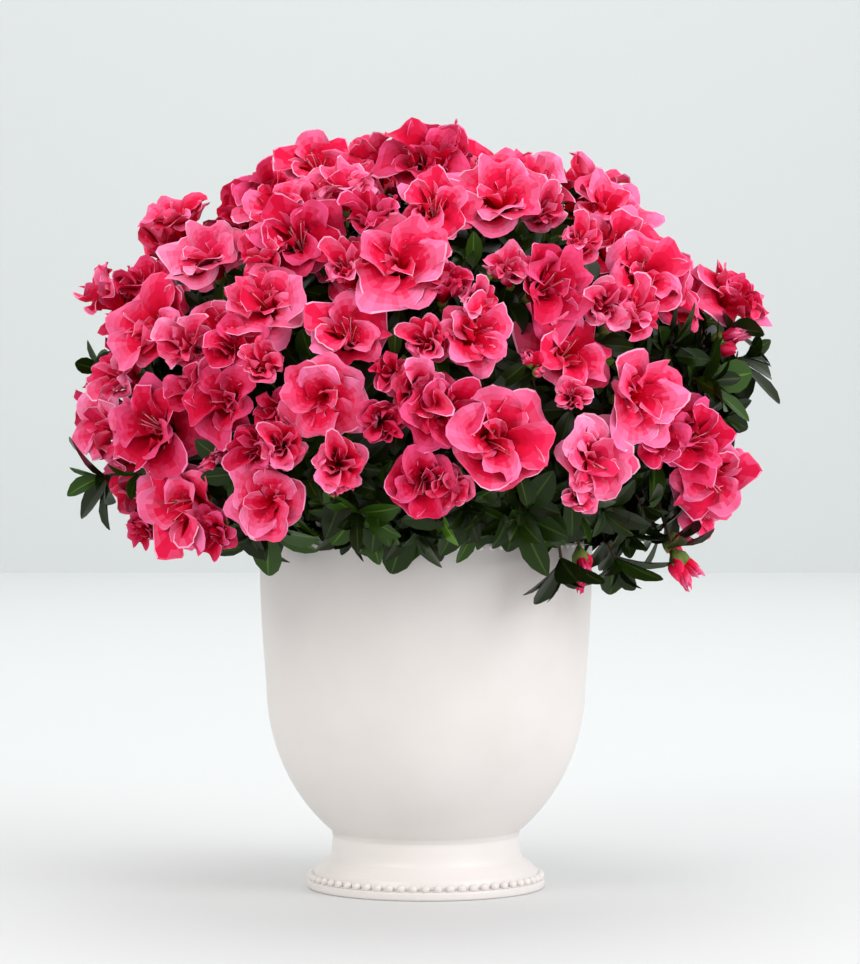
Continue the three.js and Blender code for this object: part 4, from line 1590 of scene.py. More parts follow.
# Most stand where the photograph shows a smaller or half-open flower between two larger ones.
FURTHER_FLOWERS = (
    Flower(-26, 280, 0.6, True),
    Flower(-13, 232, 0.85, True),
    Flower(-32, 290, 0.8),
    Flower(-24, 259, 0.75, True, 0.9),
    Flower(-27, 240, 0.65, True, 0.92),
    Flower(-41, 268, 0.8, True, 0.9),
    Flower(-9, 352, 0.85),
    Flower(-19, 372, 0.8),
    Flower(-33, 361, 0.85),
    Flower(-13, 327, 0.65, True, 0.9),
    Flower(-30, 335, 0.75),
    Flower(5, 320, 0.6, True, 0.92),
    Flower(10, 311, 0.5, True, 0.92),
    Flower(2, 292, 0.75, False, 0.92),
    Flower(39, 306, 0.85),
    Flower(33, 341, 0.7),
    Flower(30, 359, 0.7, False, 0.92),
    Flower(26, 265, 0.5, True),
    Flower(29, 216, 0.5, True),
    Flower(47, 243, 0.75, True, 0.9),
    Flower(82, 318, 0.75, True, 0.98),
    Flower(-62, 275, 0.85, False, 0.93),
    Flower(-70, 330, 0.85, False, 0.92),
    Flower(-40, 368, 0.85, False, 0.93),
    Flower(10, 385, 0.9, False, 0.92),
    Flower(-20, 392, 0.85, False, 0.93),
    Flower(38, 378, 0.85, False, 0.92),
    Flower(60, 350, 0.85, False, 0.92),
    Flower(4, 360, 0.8, False, 0.92),
    Flower(-38, 301, 0.75, False, 0.9),
    Flower(-4, 275, 0.75, True, 0.92),
    Flower(4, 258, 1.0, False, 0.94),
    Flower(17, 328, 0.66, True, 0.92),
    Flower(6, 222, 0.6, True, 0.93),
    Flower(55, 243, 0.85, False, 0.92),
    Flower(-43, 291, 0.7, True, 0.93),
    Flower(-23, 241, 0.6, True, 0.93),
    Flower(-6, 253, 0.8, True, 0.93),
    Flower(35, 311, 0.66, True, 0.92),
    Flower(-41, 197, 0.66, False, 0.94),
    Flower(-80, 321, 0.8, False, 0.97),
    Flower(-73, 363, 0.74, False, 0.96),
)
# Two sprays of buds hang below the rest at the right, in front of the pot.
HANGING_BUDS = ((43.5, 124, 175), (66.5, 149, 172))
# Small clusters of buds stand in the gaps between flowers: the azimuth and the height of each.
BUDS_BETWEEN = ((-38, 236), (7, 324), (40, 230))
# Beside its highest part the crown's top edge is lower than the dome: the place across, and how much.
TOP_DIPS = (
    *((-165, 18), (-145, 13), (-125, 0), (-108, 12), (-72, 24), (-58, 4)),
    *((-40, 1), (-15, 10), (5, 13), (25, 14), (58, 21), (80, 3)),
    *((98, 8), (110, 22), (130, 36), (145, 32), (165, 0)),
)
BACK_BOUGH_TIP = 260
BACK_BOUGH_LEVELS = (2, 0, 1, 2, 1)
BOUGH_LEVELS = (10.5, 19.5, 28.5)
CROWN_BOUGHS = {"crown_left": (-45, 322), "crown_right": (48, 324), "crown_back": (165, 326)}


@dataclass
class Mass:
    """One mass of foliage with its shoots, its stem and the fork that its twigs spring from."""

    node: str
    bough: str
    shoots: list[Shoot]
    fork: Vector = field(default_factory=Vector)
    stem: list[Vector] = field(default_factory=list)


@dataclass
class Framework:
    """The limbs and the rule of the shoots, as in the source of the solids."""

    crown: Crown
    trunk: Trunk
    side_reach: float = 0.58
    side_rise: float = 9.0
    side_bend: float = 0.5
    crown_spread: float = 58.0
    crown_rise: float = -9.0
    crown_bend: float = 0.4
    below_fork: float = 12.0
    below_cut: float = 0.3
    bloom_radius: float = 27.0
    bloom_level: float = 0.96
    bud_level: float = 0.94
    tip_level: float = 0.84
    nod: float = 0.16
    show: float = 0.12
    show_aside: float = 0.45
    scatter: float = 0.2
    leaf_scatter: float = 0.3
    fringe_radius: float = 119.0
    fringe_slant: float = 0.3
    fringe_height: float = 198.0
    fringe_dip: float = 0.85
    stem_reach: float = 0.62
    berth_step: float = 10.0
    berth_start: float = 12.0
    berth_sweep: float = 0.6

    def bough(self, name: str, azimuth: float, tip: float, start: float, crown: bool) -> Bough:
        """Plans a bough, with its path from inside the trunk to its tip.

        Args:
            name: Its name.
            azimuth: Its angle round from the front.
            tip: How high its tip is.
            start: How high it leaves the trunk.
            crown: Whether it rises into the top of the crown.

        Returns:
            The bough.
        """
        spread = self.crown_spread if crown else self.crown.reach * self.side_reach
        end = self.crown.around(azimuth, spread, tip)
        begin = Vector((self.trunk.lean / 2, 0, start))
        bend = begin.lerp(end, self.crown_bend if crown else self.side_bend)
        bend.z += self.crown_rise if crown else self.side_rise
        return Bough(name, [begin, bend, end])

    def boughs(self) -> dict[str, Bough]:
        """Plans every bough: five at the front, five behind and three into the crown.

        Returns:
            The boughs by their names.
        """
        soil = self.trunk.foot - self.below_cut
        rows = [
            (name, azimuth, tip, soil + BOUGH_LEVELS[level], False)
            for name, (azimuth, tip, level) in SIDE_BOUGHS.items()
        ]
        rows += [
            (f"back_{k + 1}", BACK_FIRST + k * BACK_STEP, BACK_BOUGH_TIP, soil + BOUGH_LEVELS[level], False)
            for k, level in enumerate(BACK_BOUGH_LEVELS)
        ]
        fork = soil + self.trunk.height - self.below_fork
        rows += [(name, azimuth, tip, fork, True) for name, (azimuth, tip) in CROWN_BOUGHS.items()]
        return {row[0]: self.bough(*row) for row in rows}

    def facing(self, place: Vector, azimuth: float, chance: Chance) -> Vector:
        """Returns which way a bloom opens: out from the crown, a little up, and round to the front.

        Args:
            place: Where the bloom is.
            azimuth: Its angle round from the front.
            chance: The seeded numbers that turn it a little.

        Returns:
            A unit direction.
        """
        lit = self.crown.outward(place) + UP * self.nod
        if abs(azimuth) < 90:
            lit += FRONT * (self.show + abs(math.sin(math.radians(azimuth))) * self.show_aside)
        return chance.scattered(lit, self.scatter)

    def shoots(self, plan: Plan, fringe: tuple, seed: int) -> list[Shoot]:
        """Works out the shoots of one mass by its seeded rule.

        Args:
            plan: What the mass bears, and where.
            fringe: The angle round from the front of each drooping shoot, and how far down it hangs.
            seed: The mass's seed.

        Returns:
            The shoots, in the order of the random draws.
        """
        chance = Chance(seed)
        crown = self.crown
        azimuth = plan.at[0]
        lead = crown.point(*plan.at, plan.level)
        shoots = []

        def add(kind: ShootKind, place: Vector, scatter: float, droop: float = 0) -> None:
            """Adds a shoot without a bloom, which faces out from the crown."""
            facing = crown.outward(place) - UP * droop
            shoots.append(Shoot(kind, place, chance.scattered(facing, scatter)))

        def bloom(place: Vector, size: float) -> None:
            """Adds a bloom."""
            facing = self.facing(place, azimuth, chance)
            shoots.append(Shoot(ShootKind.BLOOM, place, facing, self.bloom_radius * size))

        if plan.size > 0:
            bloom(lead, plan.size)
        for clock, distance, *back in plan.blooms:
            level = self.bloom_level - (back[0] if back else 0) + chance.spread(0.01)
            bloom(crown.beside(lead, clock, distance, level), chance.between(0.86, 1))
        for clock, distance in plan.buds:
            add(ShootKind.BUD, crown.beside(lead, clock, distance, self.bud_level), self.leaf_scatter)
        for clock, distance, *level in plan.tips:
            reach = (level[0] if level else self.tip_level) + chance.between(-0.02, 0.03)
            add(ShootKind.TIP, crown.beside(lead, clock, distance, reach), self.leaf_scatter)
        for turn, hang in fringe:
            height = self.fringe_height - hang + chance.spread(3)
            place = crown.around(turn, self.fringe_radius + hang * self.fringe_slant, height)
            add(ShootKind.FRINGE, place, self.scatter, self.fringe_dip)
        return shoots

    def masses(self) -> list[Mass]:
        """Plans every mass of foliage with its shoots.

        Returns:
            The masses, in the order of the solids' source.
        """
        plans = [
            (bough, tier, plan, SKIRT_FRINGE[bough] if tier == "skirt" else ())
            for bough, tiers in PLANS.items()
            for tier, plan in tiers.items()
        ]
        for k in range(BACK_COUNT):
            azimuth = BACK_FIRST + k * BACK_STEP
            for tier, (height, blooms, tips) in BACK_BLOOMS.items():
                hanging = BACK_FRINGE if tier == "lower" else ()
                fringe = tuple((azimuth + turn, hang) for turn, hang in hanging)
                plan = Plan((azimuth, height), blooms=blooms, tips=tips)
                plans.append((f"back_{k + 1}", tier, plan, fringe))
        return [
            Mass(f"foliage_{bough}_{tier}", bough, self.shoots(plan, fringe, index + 1))
            for index, (bough, tier, plan, fringe) in enumerate(plans)
        ]

    def grow_stems(self, boughs: dict[str, Bough], masses: list[Mass]) -> None:
        """Gives each mass its stem, from its bough to its fork, in the order that they turn away.

        Args:
            boughs: The boughs by their names.
            masses: The masses, which are changed.
        """
        for bough in boughs.values():
            tip, onward = bough.path[2], bough.onward()
            served = [mass for mass in masses if mass.bough == bough.name]
            for mass in served:
                middle = sum((shoot.foot() for shoot in mass.shoots), Vector()) / len(mass.shoots)
                mass.fork = tip.lerp(middle, self.stem_reach)
            served.sort(key=lambda mass: (mass.fork - tip).angle(onward))
            for berth, mass in enumerate(served):
                start = tip - onward * (berth * self.berth_step)
                way = (mass.fork - start).normalized()
                if berth:
                    way = (way + onward * (self.berth_sweep * way.dot(-onward))).normalized()
                mass.stem = [start, start + way * self.berth_start, mass.fork]


def basis(facing: Vector, turn: float) -> np.ndarray:
    """Returns the matrix that turns local Z to a direction.

    Args:
        facing: The direction, of unit length.
        turn: The turn about Z that comes first, in degrees.

    Returns:
        Its columns are the directions that X, Y and Z come to.
    """
    level = Vector((1, 0, 0)) if abs(facing.z) > UPRIGHT else UP
    right = facing.cross(level).normalized()
    above = right.cross(facing).normalized()
    angle = math.radians(turn)
    first = right * math.cos(angle) + above * math.sin(angle)
    return np.column_stack((first, facing.cross(first), facing))


@dataclass(frozen=True)
class Layer:
    """One layer of shoots that fills the crown: its level, the gaps, and how many places are tried."""

    level: float
    gap: float
    tries: int
    seed: int


@dataclass(frozen=True)
class Spray:
    """How the leaves of a shoot stand: how far they open, their size, their detail and their number."""

    open_by: float
    size: float = 1.0
    fine: bool = True
    count: int = 5


STEM_RADII = (2.6, 1.9)
BLOOM_TWIG_RADII = (1.5, 0.95)
BUD_TWIG_RADII = (1.4, 0.9)
LEAF_TWIG_RADII = (1.3, 0.8)
STALK_RADII = (0.85, 0.8)
UNDER_BLOOM = Spray(74)
UNDER_BUDS = Spray(76, 0.88, True, 6)
UNDER_HANGING_BUDS = Spray(100, 0.88, True, 6)
PLANNED_TIP = Spray(62, 1.1)
PLANNED_FRINGE = Spray(56, 1.1)
FILLED_FRINGE = Spray(56, 0.95)


@dataclass
class Foliage:
    """Every twig, leaf, bud and bloom, grown on from the limbs."""

    framework: Framework
    boughs: dict[str, Bough]
    masses: list[Mass]
    leaf_length: float = 29.0
    leaf_sizes: tuple[float, float] = (0.78, 1.14)
    leaf_step: float = 1.3
    leaf_turn: float = 20.0
    leaf_tilt: float = 13.0
    leaf_tip: float = 0.9
    young_open: float = 0.5
    young_size: float = 0.62
    branch_bend: float = 0.35
    branch_hold: float = 0.8
    bud_root: float = 6.0
    bud_stalk: float = 9.0
    bud_base: float = 4.0
    bud_calyx: float = 6.5
    bud_spread: float = 0.55
    bud_sizes: tuple[float, float] = (0.75, 1.12)
    leading_turn: float = 0.26
    further_turn: float = 0.3
    inner_size: float = 1.25
    leaf_berth: float = 28.0
    near_flower: float = 34.0
    open_near: float = 78.0
    open_far: float = 64.0
    petal_depths: tuple[float, float] = (-8.0, 24.0)
    petal_reach: float = 1.02
    fullness: float = 0.95
    beside_size: float = 0.9
    between_size: float = 0.9
    half_open_under: float = 0.72
    half_open_size: float = 1.25
    full_from: float = 22.0
    small_below: float = 205.0
    small_size: float = 0.52
    sink: float = 5.0
    sink_aside: float = 5.0
    turn_to_front: float = 0.3
    turned_above: float = 320.0
    lowest: float = 196.0
    highest: float = 406.0
    hidden_from: float = 100.0
    dip_behind: float = -70.0
    dip_from: float = 315.0
    dip_over: float = 40.0
    flower_layers: tuple[Layer, ...] = (Layer(0.92, 34.0, 900, 501), Layer(0.86, 28.0, 900, 502))
    layer_radii: tuple[float, ...] = (25.0, 21.0)
    outer_leaves: tuple[Layer, ...] = (Layer(0.89, 21.0, 1800, 601), Layer(0.81, 19.5, 1800, 602))
    inner_leaves: tuple[Layer, ...] = (Layer(0.69, 23.0, 1000, 603), Layer(0.54, 26.0, 500, 604))
    fringe_count: int = 44
    rim_radii: tuple[float, float] = (98.0, 128.0)
    rim_heights: tuple[float, float] = (190.0, 204.0)
    rim_droop: float = 0.75

    def __post_init__(self) -> None:
        """Makes the templates, and starts a heap for each kind of piece on each bough."""
        self.heaps: dict[tuple[str, str], Heap] = defaultdict(Heap)
        self.blooms = [BloomMaker(form, 11 + k).build() for k, form in enumerate(BLOOM_FORMS)]
        makers = [BloomMaker(form, 41 + k) for k, form in enumerate(FURLED_FORMS)]
        furled = [maker.build(FURLED_SIZE, FURLED_BASE) for maker in makers]
        self.bud = [furled[0], Bud().template(31), furled[1]]
        self.calyx = Calyx().template()
        self.stamen = Stamen().template()
        self.leaf = {fine: [form.template(fine) for form in LEAF_FORMS] for fine in (True, False)}
        self.stick = Template.read(new_stick(6, 5))
        self.fine_stick = Template.read(new_stick(4, 3))
        self.flowers: list[tuple[Mass, Shoot, range]] = []
        self.flower_chance = Chance(401)

    def twig(self, bough: str, path: list[Vector], start: float, end: float, tint: int, fine: bool) -> None:
        """Adds a tapering twig.

        Args:
            bough: The name of its bough.
            path: Its start, the point that it is drawn towards, and its end.
            start: Its first radius.
            end: Its last one.
            tint: Its tint.
            fine: Whether it is thin enough to have only four sides.
        """
        stick = self.fine_stick if fine else self.stick
        radii = start + (end - start) * stick.corners[:, 2]
        self.heaps["twigs", bough].put(stick, bent(stick, path, radii), tint)

    def in_a_flower(self, tip: Vector) -> bool:
        """Tells whether a leaf would come through a bloom's petals.

        Args:
            tip: Where the leaf ends.

        Returns:
            Whether that is inside a flower.
        """
        behind, before = self.petal_depths
        away = np.array(tip) - self.flower_places
        above = np.einsum("ij,ij->i", away, self.flower_facings)
        aside = np.sqrt(np.maximum(0, np.einsum("ij,ij->i", away, away) - above**2))
        among = (above > behind) & (above < before) & (aside < self.petal_reach * self.flower_radii)
        return bool(np.any(among))

    def whorl(self, bough: str, root: Vector, axis: Vector, spray: Spray, chance: Chance) -> None:
        """Adds a whorl of leaves.

        Args:
            bough: The name of its bough.
            root: Where the first leaf roots.
            axis: The direction of the shoot.
            spray: How the leaves stand.
            chance: The seeded numbers of the shoot.
        """
        family = chance.pick(LEAF_SHARES)
        start = chance.between(0, 360)
        for k in range(spray.count):
            turn = start + 360 * k / spray.count + chance.spread(self.leaf_turn)
            open_angle = math.radians(spray.open_by + chance.spread(self.leaf_tilt))
            side = Vector(basis(axis, turn)[:, 0])
            way = (axis * math.cos(open_angle) + side * math.sin(open_angle)).normalized()
            top = (axis * math.sin(open_angle) - side * math.cos(open_angle)).normalized()
            length = self.leaf_length * spray.size * chance.between(*self.leaf_sizes)
            template = self.leaf[spray.fine][chance.index(len(LEAF_FORMS))]
            place = root - axis * (self.leaf_step * k)
            if self.in_a_flower(place + way * (self.leaf_tip * length)):
                continue
            matrix = np.column_stack((way, top.cross(way), top)) * length
            self.heaps["leaves", bough].stand(template, matrix, place, 2 * family)

    def branch(self, mass: Mass, end: Vector, facing: Vector, base: float, tip: float) -> None:
        """Adds a woody twig that leaves a mass's fork and ends along the direction of its shoot.

        Args:
            mass: The mass.
            end: Where the twig ends.
            facing: The direction of its shoot.
            base: Its first radius.
            tip: Its last one.
        """
        reach = (end - mass.fork).length
        bend = end - facing * (self.branch_bend * reach)
        path = [mass.fork, mass.fork.lerp(bend, self.branch_hold), end]
        self.twig(mass.bough, path, base, tip, WOOD_TINT, reach < FINE_TWIG)

    def bear_bloom(self, mass: Mass, shoot: Shoot, forms: range, chance: Chance) -> None:
        """Adds a bloom with its stamens, its calyx, its stalk, its twig and the leaves under it.

        Args:
            mass: The mass that it grows from.
            shoot: Where it is, how large it is and which way it faces.
            forms: The forms that it may have.
            chance: The seeded numbers.
        """
        bough = mass.bough
        index = forms[chance.index(len(forms))]
        scale = shoot.radius / self.framework.bloom_radius
        matrix = basis(shoot.facing, chance.between(0, 360)) * scale
        foot = shoot.foot()
        # Closed forms take mostly the deep tints, as painted shade.
        family = chance.pick(SHADED_FLOWER_SHARES if forms is CLOSED_FORMS else FLOWER_SHARES)
        self.heaps["blossom", bough].stand(self.blooms[index], matrix, foot, family * PETAL_ZONES)
        self.heaps["twigs", bough].stand(self.calyx, matrix, foot)
        for _ in range(BLOOM_FORMS[index].stamens):
            turned_aside = basis(shoot.facing, chance.between(0, 360)) * scale * chance.between(0.85, 1.05)
            self.heaps["stamens", bough].stand(self.stamen, turned_aside, foot)
        stalk_end = foot - shoot.facing * (STALK_END * scale)
        stalk_start = foot - shoot.facing * (STALK_START * scale) + (mass.fork - foot).normalized() * 3
        middle = stalk_end.lerp(stalk_start, 0.5)
        middle += (stalk_end - stalk_start).orthogonal().normalized() * chance.spread(1.2)
        self.twig(bough, [stalk_start, middle, stalk_end], *STALK_RADII, GREEN_TINT, True)
        self.branch(mass, stalk_start, shoot.facing, *BLOOM_TWIG_RADII)
        self.whorl(bough, stalk_start, shoot.facing, UNDER_BLOOM, chance)

    def bear_buds(self, mass: Mass, shoot: Shoot, spray: Spray, chance: Chance) -> None:
        """Adds a cluster of two or three buds with their sepals, and leaves round them.

        Args:
            mass: The mass that they grow from.
            shoot: Where the cluster is, and which way it faces.
            spray: How the leaves stand.
            chance: The seeded numbers.
        """
        bough = mass.bough
        root = shoot.foot() - shoot.facing * self.bud_root
        for k in range(2 + int(chance.between(0, 1.999))):
            facing = chance.scattered(shoot.facing, self.bud_spread)
            foot = root + facing * self.bud_stalk
            size = chance.between(*self.bud_sizes)
            matrix = basis(facing, chance.between(0, 360)) * size
            family = chance.pick(FLOWER_SHARES)
            base = foot - facing * self.bud_base
            self.heaps["buds", bough].stand(self.bud[k % len(self.bud)], matrix, base, family * PETAL_ZONES)
            self.heaps["twigs", bough].stand(self.calyx, matrix, foot + facing * self.bud_calyx * size)
            radius = STALK_RADII[1]
            self.twig(bough, [root, root.lerp(foot, 0.5), base], radius, radius, GREEN_TINT, True)
        self.branch(mass, root, shoot.facing, *BUD_TWIG_RADII)
        self.whorl(bough, root, shoot.facing, spray, chance)

    def bear_leaves(self, mass: Mass, shoot: Shoot, spray: Spray, chance: Chance) -> None:
        """Adds a leafy tip: a ring of full leaves and a smaller one above it.

        Args:
            mass: The mass that it grows from.
            shoot: Where it is, and which way it faces.
            spray: How the full leaves stand.
            chance: The seeded numbers.
        """
        bough = mass.bough
        foot = shoot.foot()
        self.branch(mass, foot, shoot.facing, *LEAF_TWIG_RADII)
        self.whorl(bough, foot, shoot.facing, spray, chance)
        young = Spray(spray.open_by * self.young_open, spray.size * self.young_size, spray.fine, 3)
        self.whorl(bough, foot + shoot.facing * 2, shoot.facing, young, chance)

    def nearest_mass(self, place: Vector) -> Mass:
        """Returns the mass whose space a point is in."""
        return min(self.masses, key=lambda mass: min((shoot.place - place).length for shoot in mass.shoots))

    def places(self, layer: Layer) -> list[tuple[float, Vector]]:
        """Spreads points evenly over one level of the crown, turn by golden turn.

        Args:
            layer: The layer.

        Returns:
            Each point's angle from the front, and the point.
        """
        chance = Chance(layer.seed + 10)
        golden = 180 * (3 - math.sqrt(5))
        crown = self.framework.crown
        spots = []
        for k in range(layer.tries):
            height = self.lowest + (self.highest - self.lowest) * (k + 0.5) / layer.tries
            height = crown.z + (height - crown.z) * layer.level + chance.spread(3)
            azimuth = (k * golden + 180) % 360 - 180
            spots.append((azimuth, crown.point(azimuth, height, layer.level)))
        return spots

    def dipped(self, place: Vector) -> Vector:
        """Lets a place at the crown's top edge down to where the photograph shows that edge.

        Args:
            place: Where the dome has it.

        Returns:
            Where it is.
        """
        if place.y < self.dip_behind:
            return place
        across, dips = zip(*TOP_DIPS)
        share = min(max((place.z - self.dip_from) / self.dip_over, 0), 1)
        return place - UP * (share * float(np.interp(place.x, across, dips)))

    def add_flower(self, place: Vector, azimuth: float, radius: float, forms: range) -> None:
        """Plans a flower on the mass that it is in.

        Args:
            place: Where it is.
            azimuth: Its angle round from the front.
            radius: Its radius.
            forms: The forms that it may have.
        """
        chance = self.flower_chance
        facing = chance.scattered(self.framework.facing(place, azimuth, chance), self.further_turn)
        shoot = Shoot(ShootKind.BLOOM, self.dipped(place), facing, radius)
        self.flowers.append((self.nearest_mass(place), shoot, forms))

    def plan_leading(self) -> None:
        """Plans the flowers that the solids have."""
        shoots = [(mass, index, shoot) for mass in self.masses for index, shoot in enumerate(mass.shoots)]
        for mass, index, shoot in shoots:
            if shoot.kind is not ShootKind.BLOOM:
                continue
            outward = self.framework.crown.outward(shoot.place)
            place = shoot.place - outward * (self.sink + self.sink_aside * abs(outward.x))
            facing = shoot.facing
            if place.y < 0 and place.z > self.turned_above:
                facing = facing + FRONT * self.turn_to_front
            facing = self.flower_chance.scattered(facing, self.leading_turn)
            full = index == 0 and shoot.radius > self.full_from
            size = self.fullness if full else self.beside_size
            if place.z < self.small_below:
                size *= self.small_size
            bloom = Shoot(ShootKind.BLOOM, self.dipped(place), facing, shoot.radius * size)
            self.flowers.append((mass, bloom, FULL_FORMS if full else OPEN_FORMS))

    def plan_further(self) -> None:
        """Plans the flowers that the photograph shows between those."""
        for seen in FURTHER_FLOWERS:
            place = self.framework.crown.point(seen.azimuth, seen.height, seen.level)
            forms = CLOSED_FORMS if seen.closed else OPEN_FORMS
            radius = seen.size * self.between_size * self.framework.bloom_radius
            if seen.closed and seen.size < self.half_open_under:
                forms, radius = HALF_OPEN_FORMS, radius * self.half_open_size
            self.add_flower(place, seen.azimuth, radius, forms)

    def plan_hidden(self) -> None:
        """Plans more flowers where the photograph can't see."""
        leafy = [s.place for mass in self.masses for s in mass.shoots if s.kind is not ShootKind.BLOOM]
        for layer, radius in zip(self.flower_layers, self.layer_radii):
            for azimuth, spot in self.places(layer):
                if abs(azimuth) < self.hidden_from or spot.z < self.lowest + 6:
                    continue
                if min((spot - shoot.place).length for _, shoot, _ in self.flowers) < layer.gap:
                    continue
                if min((spot - place).length for place in leafy) < LEAFY_BERTH:
                    continue
                forms = CLOSED_FORMS if layer.level < 0.9 else OPEN_FORMS
                self.add_flower(spot, azimuth, radius * self.flower_chance.between(0.85, 1.08), forms)

    def plan_flowers(self) -> None:
        """Plans every flower, and keeps their places for the leaves to stand clear of."""
        self.plan_leading()
        self.plan_further()
        self.plan_hidden()
        flowers = [(shoot.place, shoot.facing, shoot.radius) for _, shoot, _ in self.flowers]
        self.flower_places, self.flower_facings, self.flower_radii = map(np.array, zip(*flowers))
        log.info("%d blooms in all", len(self.flowers))

    def grow_planned(self) -> None:
        """Grows the stems, buds and leafy tips that the solids have."""
        for index, mass in enumerate(self.masses):
            chance = Chance(index + 101)
            self.twig(mass.bough, mass.stem, *STEM_RADII, WOOD_TINT, False)
            for shoot in mass.shoots:
                if shoot.kind is ShootKind.BUD:
                    self.bear_buds(mass, shoot, UNDER_BUDS, chance)
                elif shoot.kind is ShootKind.TIP:
                    tip = Shoot(shoot.kind, self.dipped(shoot.place), shoot.facing)
                    self.bear_leaves(mass, tip, PLANNED_TIP, chance)
                elif shoot.kind is ShootKind.FRINGE:
                    self.bear_leaves(mass, shoot, PLANNED_FRINGE, chance)

    def fill_leaves(self) -> None:
        """Grows leafy shoots in layers, dense enough to hide the inside of the crown."""
        for layer in (*self.outer_leaves, *self.inner_leaves):
            chance = Chance(layer.seed)
            fine = layer in self.outer_leaves
            near: list[Vector] = []
            for _, spot in self.places(layer):
                flower = min(np.linalg.norm(self.flower_places - np.array(spot), axis=1))
                if layer is self.outer_leaves[0] and flower < self.leaf_berth:
                    continue
                if near and min((spot - p).length for p in near) < layer.gap:
                    continue
                near.append(spot)
                facing = chance.scattered(self.framework.crown.outward(spot), 0.35)
                open_by = self.open_near if flower < self.near_flower else self.open_far
                tip = Shoot(ShootKind.TIP, self.dipped(spot), facing)
                spray = Spray(open_by, 1.0 if fine else self.inner_size, fine)
                self.bear_leaves(self.nearest_mass(spot), tip, spray, chance)

    def fill_fringe(self) -> None:
        """Grows the drooping leaves that hang over the pot's rim all the way round, and the last buds."""
        chance = Chance(701)
        crown = self.framework.crown
        for k in range(self.fringe_count):
            azimuth = -180 + 360 * (k + chance.spread(0.3)) / self.fringe_count
            radius = chance.between(*self.rim_radii)
            place = crown.around(azimuth, radius, chance.between(*self.rim_heights))
            facing = chance.scattered(crown.outward(place) - UP * self.rim_droop, 0.25)
            shoot = Shoot(ShootKind.FRINGE, place, facing)
            self.bear_leaves(self.nearest_mass(place), shoot, FILLED_FRINGE, chance)
        clusters = []
        for azimuth, radius, height in HANGING_BUDS:
            place = crown.around(azimuth, radius, height)
            clusters.append((place, crown.outward(place) * 0.5 - UP, UNDER_HANGING_BUDS))
        for azimuth, height in BUDS_BETWEEN:
            place = crown.point(azimuth, height, 0.9)
            clusters.append((place, crown.outward(place) + FRONT * 0.4, UNDER_BUDS))
        for place, facing, spray in clusters:
            shoot = Shoot(ShootKind.BUD, place, facing.normalized())
            self.bear_buds(self.nearest_mass(place), shoot, spray, chance)

    def build(self, palette: Palette) -> None:
        """Grows everything, and joins it by bough and kind.

        Args:
            palette: The finishes.
        """
        self.plan_flowers()
        self.grow_planned()
        chance = Chance(301)
        for mass, shoot, forms in self.flowers:
            self.bear_bloom(mass, shoot, forms, chance)
        self.fill_leaves()
        self.fill_fringe()
        kinds = {"blossom": palette.petals, "buds": palette.petals, "stamens": palette.stamens}
        kinds |= {"leaves": palette.leaves, "twigs": palette.twigs}
        for name in self.boughs:
            nodes = [mass.node for mass in self.masses if mass.bough == name]
            for kind, materials in kinds.items():
                piece = Piece(f"{kind}_{name}", materials, "foliage_and_flowers", nodes)
                self.heaps[kind, name].settle(piece)


def turn_to(thing: bpy.types.Object, place: tuple[float, ...], target: tuple[float, ...]) -> None:
    """Puts a lamp or the camera at a place in millimetres, and turns it to a target."""
    thing.location = Vector(place) * MM
    thing.rotation_euler = (Vector(target) * MM - thing.location).to_track_quat("-Z", "Y").to_euler()


@dataclass(frozen=True)
class Lamp:
    """One soft square light: where it stands, what it shines at, its size, its power and its colour."""

    name: str
    place: tuple[float, float, float]
    target: tuple[float, float, float]
    size: float
    power: float
    colour: str

    def build(self) -> None:
        """Adds the light."""
        data = bpy.data.lights.new(self.name, "AREA")
        data.shape = "SQUARE"
        data.size = self.size * MM
        data.energy = self.power
        data.color = linear(self.colour)[:3]
        turn_to(add_object(self.name, data), self.place, self.target)


CROWN_MIDDLE = (0, 0, 230)
LAMPS = (
    Lamp("key", (-1300, -1500, 1500), CROWN_MIDDLE, 1000, 13.5, "#fffaf6"),
    Lamp("fill", (1600, -1100, 1100), CROWN_MIDDLE, 1100, 20, "#fdfaff"),
    Lamp("top", (100, 200, 2200), CROWN_MIDDLE, 1300, 8, "#ffffff"),
    Lamp("wash", (0, 2300, 2400), (0, 3200, 0), 3000, 30, "#fbffff"),
)


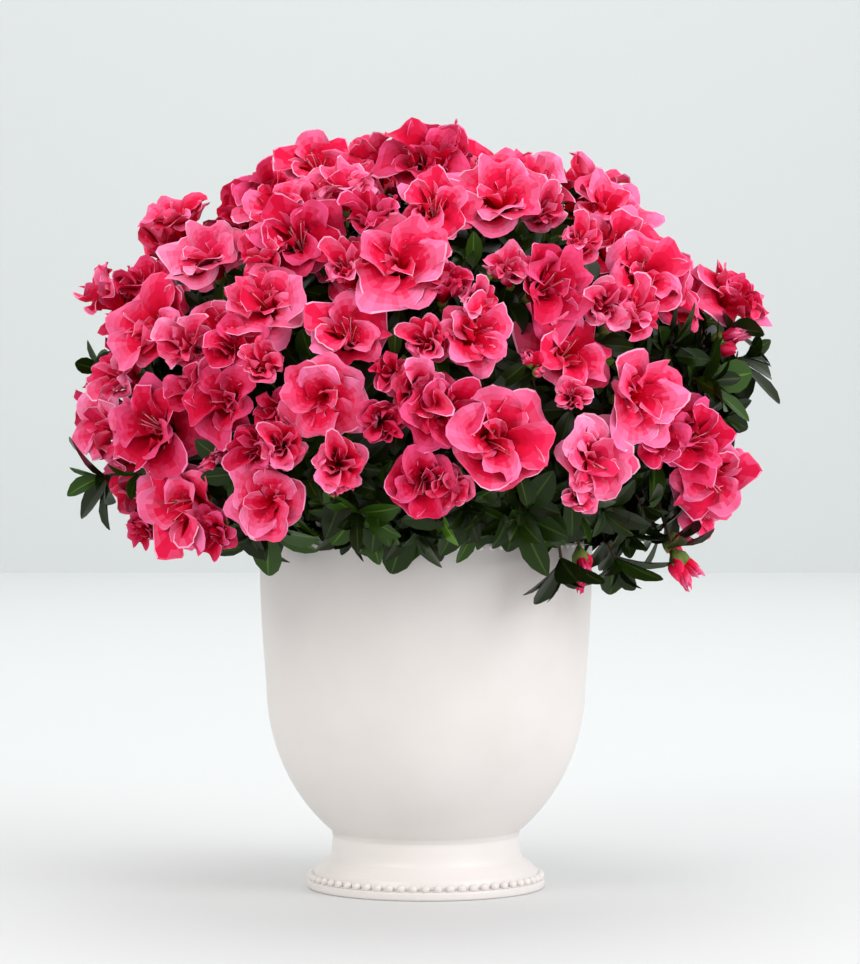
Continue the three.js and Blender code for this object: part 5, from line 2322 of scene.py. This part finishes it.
@dataclass
class Studio:
    """A pale floor and wall, soft light, and the camera at the photograph's angle."""

    distance: float = 2000.0
    aside: float = 2.2
    height: float = 260.0
    aim: float = 219.5
    lens: float = 137.8
    long_side: float = 36.0
    floor_end: float = 3790.0
    half_width: float = 6000.0
    wall_height: float = 4000.0
    floor_colour: str = "#dfe1e1"
    wall_colour: str = "#dadedd"
    sky_strength: float = 0.79

    def board(self, name: str, corners: list[tuple], colour: str, roughness: float) -> None:
        """Makes a flat board of the stage.

        Args:
            name: Its name.
            corners: Its corners, in millimetres.
            colour: Its paint's hex colour.
            roughness: How dull the paint is.
        """
        bm = bmesh.new()
        bm.faces.new([bm.verts.new(Vector(c) * MM) for c in corners])
        mesh = bpy.data.meshes.new(name)
        bm.to_mesh(mesh)
        bm.free()
        mesh.materials.append(LivingTissue(f"{name}_paint", linear(colour), roughness).material())
        add_object(name, mesh)

    def camera(self) -> None:
        """Adds the camera."""
        data = bpy.data.cameras.new("camera")
        data.sensor_fit = "VERTICAL"
        data.sensor_height = self.long_side
        data.lens = self.lens
        camera = add_object("camera", data)
        turn_to(camera, (self.aside, -self.distance, self.height), (self.aside, 0, self.aim))
        bpy.context.scene.camera = camera

    def build(self) -> None:
        """Builds the stage, the lights and the camera."""
        self.camera()
        w, e, h = self.half_width, self.floor_end, self.wall_height
        self.board("floor", [(-w, -w, 0), (w, -w, 0), (w, e, 0), (-w, e, 0)], self.floor_colour, 0.6)
        self.board("wall", [(-w, e, 0), (w, e, 0), (w, e, h), (-w, e, h)], self.wall_colour, 0.9)
        world = bpy.data.worlds.new("studio")
        bpy.context.scene.world = world
        world.use_nodes = True
        world.node_tree.nodes.clear()
        sky_light = {"Color": linear("#ffffff"), "Strength": self.sky_strength}
        sky = node(world.node_tree, "ShaderNodeBackground", sky_light)
        node(world.node_tree, "ShaderNodeOutputWorld", links={"Surface": sky.outputs["Background"]})
        for lamp in LAMPS:
            lamp.build()
        bpy.context.scene.view_settings.view_transform = "Standard"


def main() -> None:
    """Builds the plant and the studio in order."""
    logging.basicConfig(level=logging.INFO, format="%(message)s")
    palette = Palette()
    Studio().build()
    pot = Pot()
    pot.build(palette)
    PottingMix(pot).build(palette)
    trunk = Trunk()
    trunk.build(palette)
    framework = Framework(Crown(), trunk)
    boughs = framework.boughs()
    stick = Template.read(new_stick(14, 26))
    for bough in boughs.values():
        bough.build(stick, palette)
    masses = framework.masses()
    framework.grow_stems(boughs, masses)
    Foliage(framework, boughs, masses).build(palette)


if __name__ == "__main__":
    main()
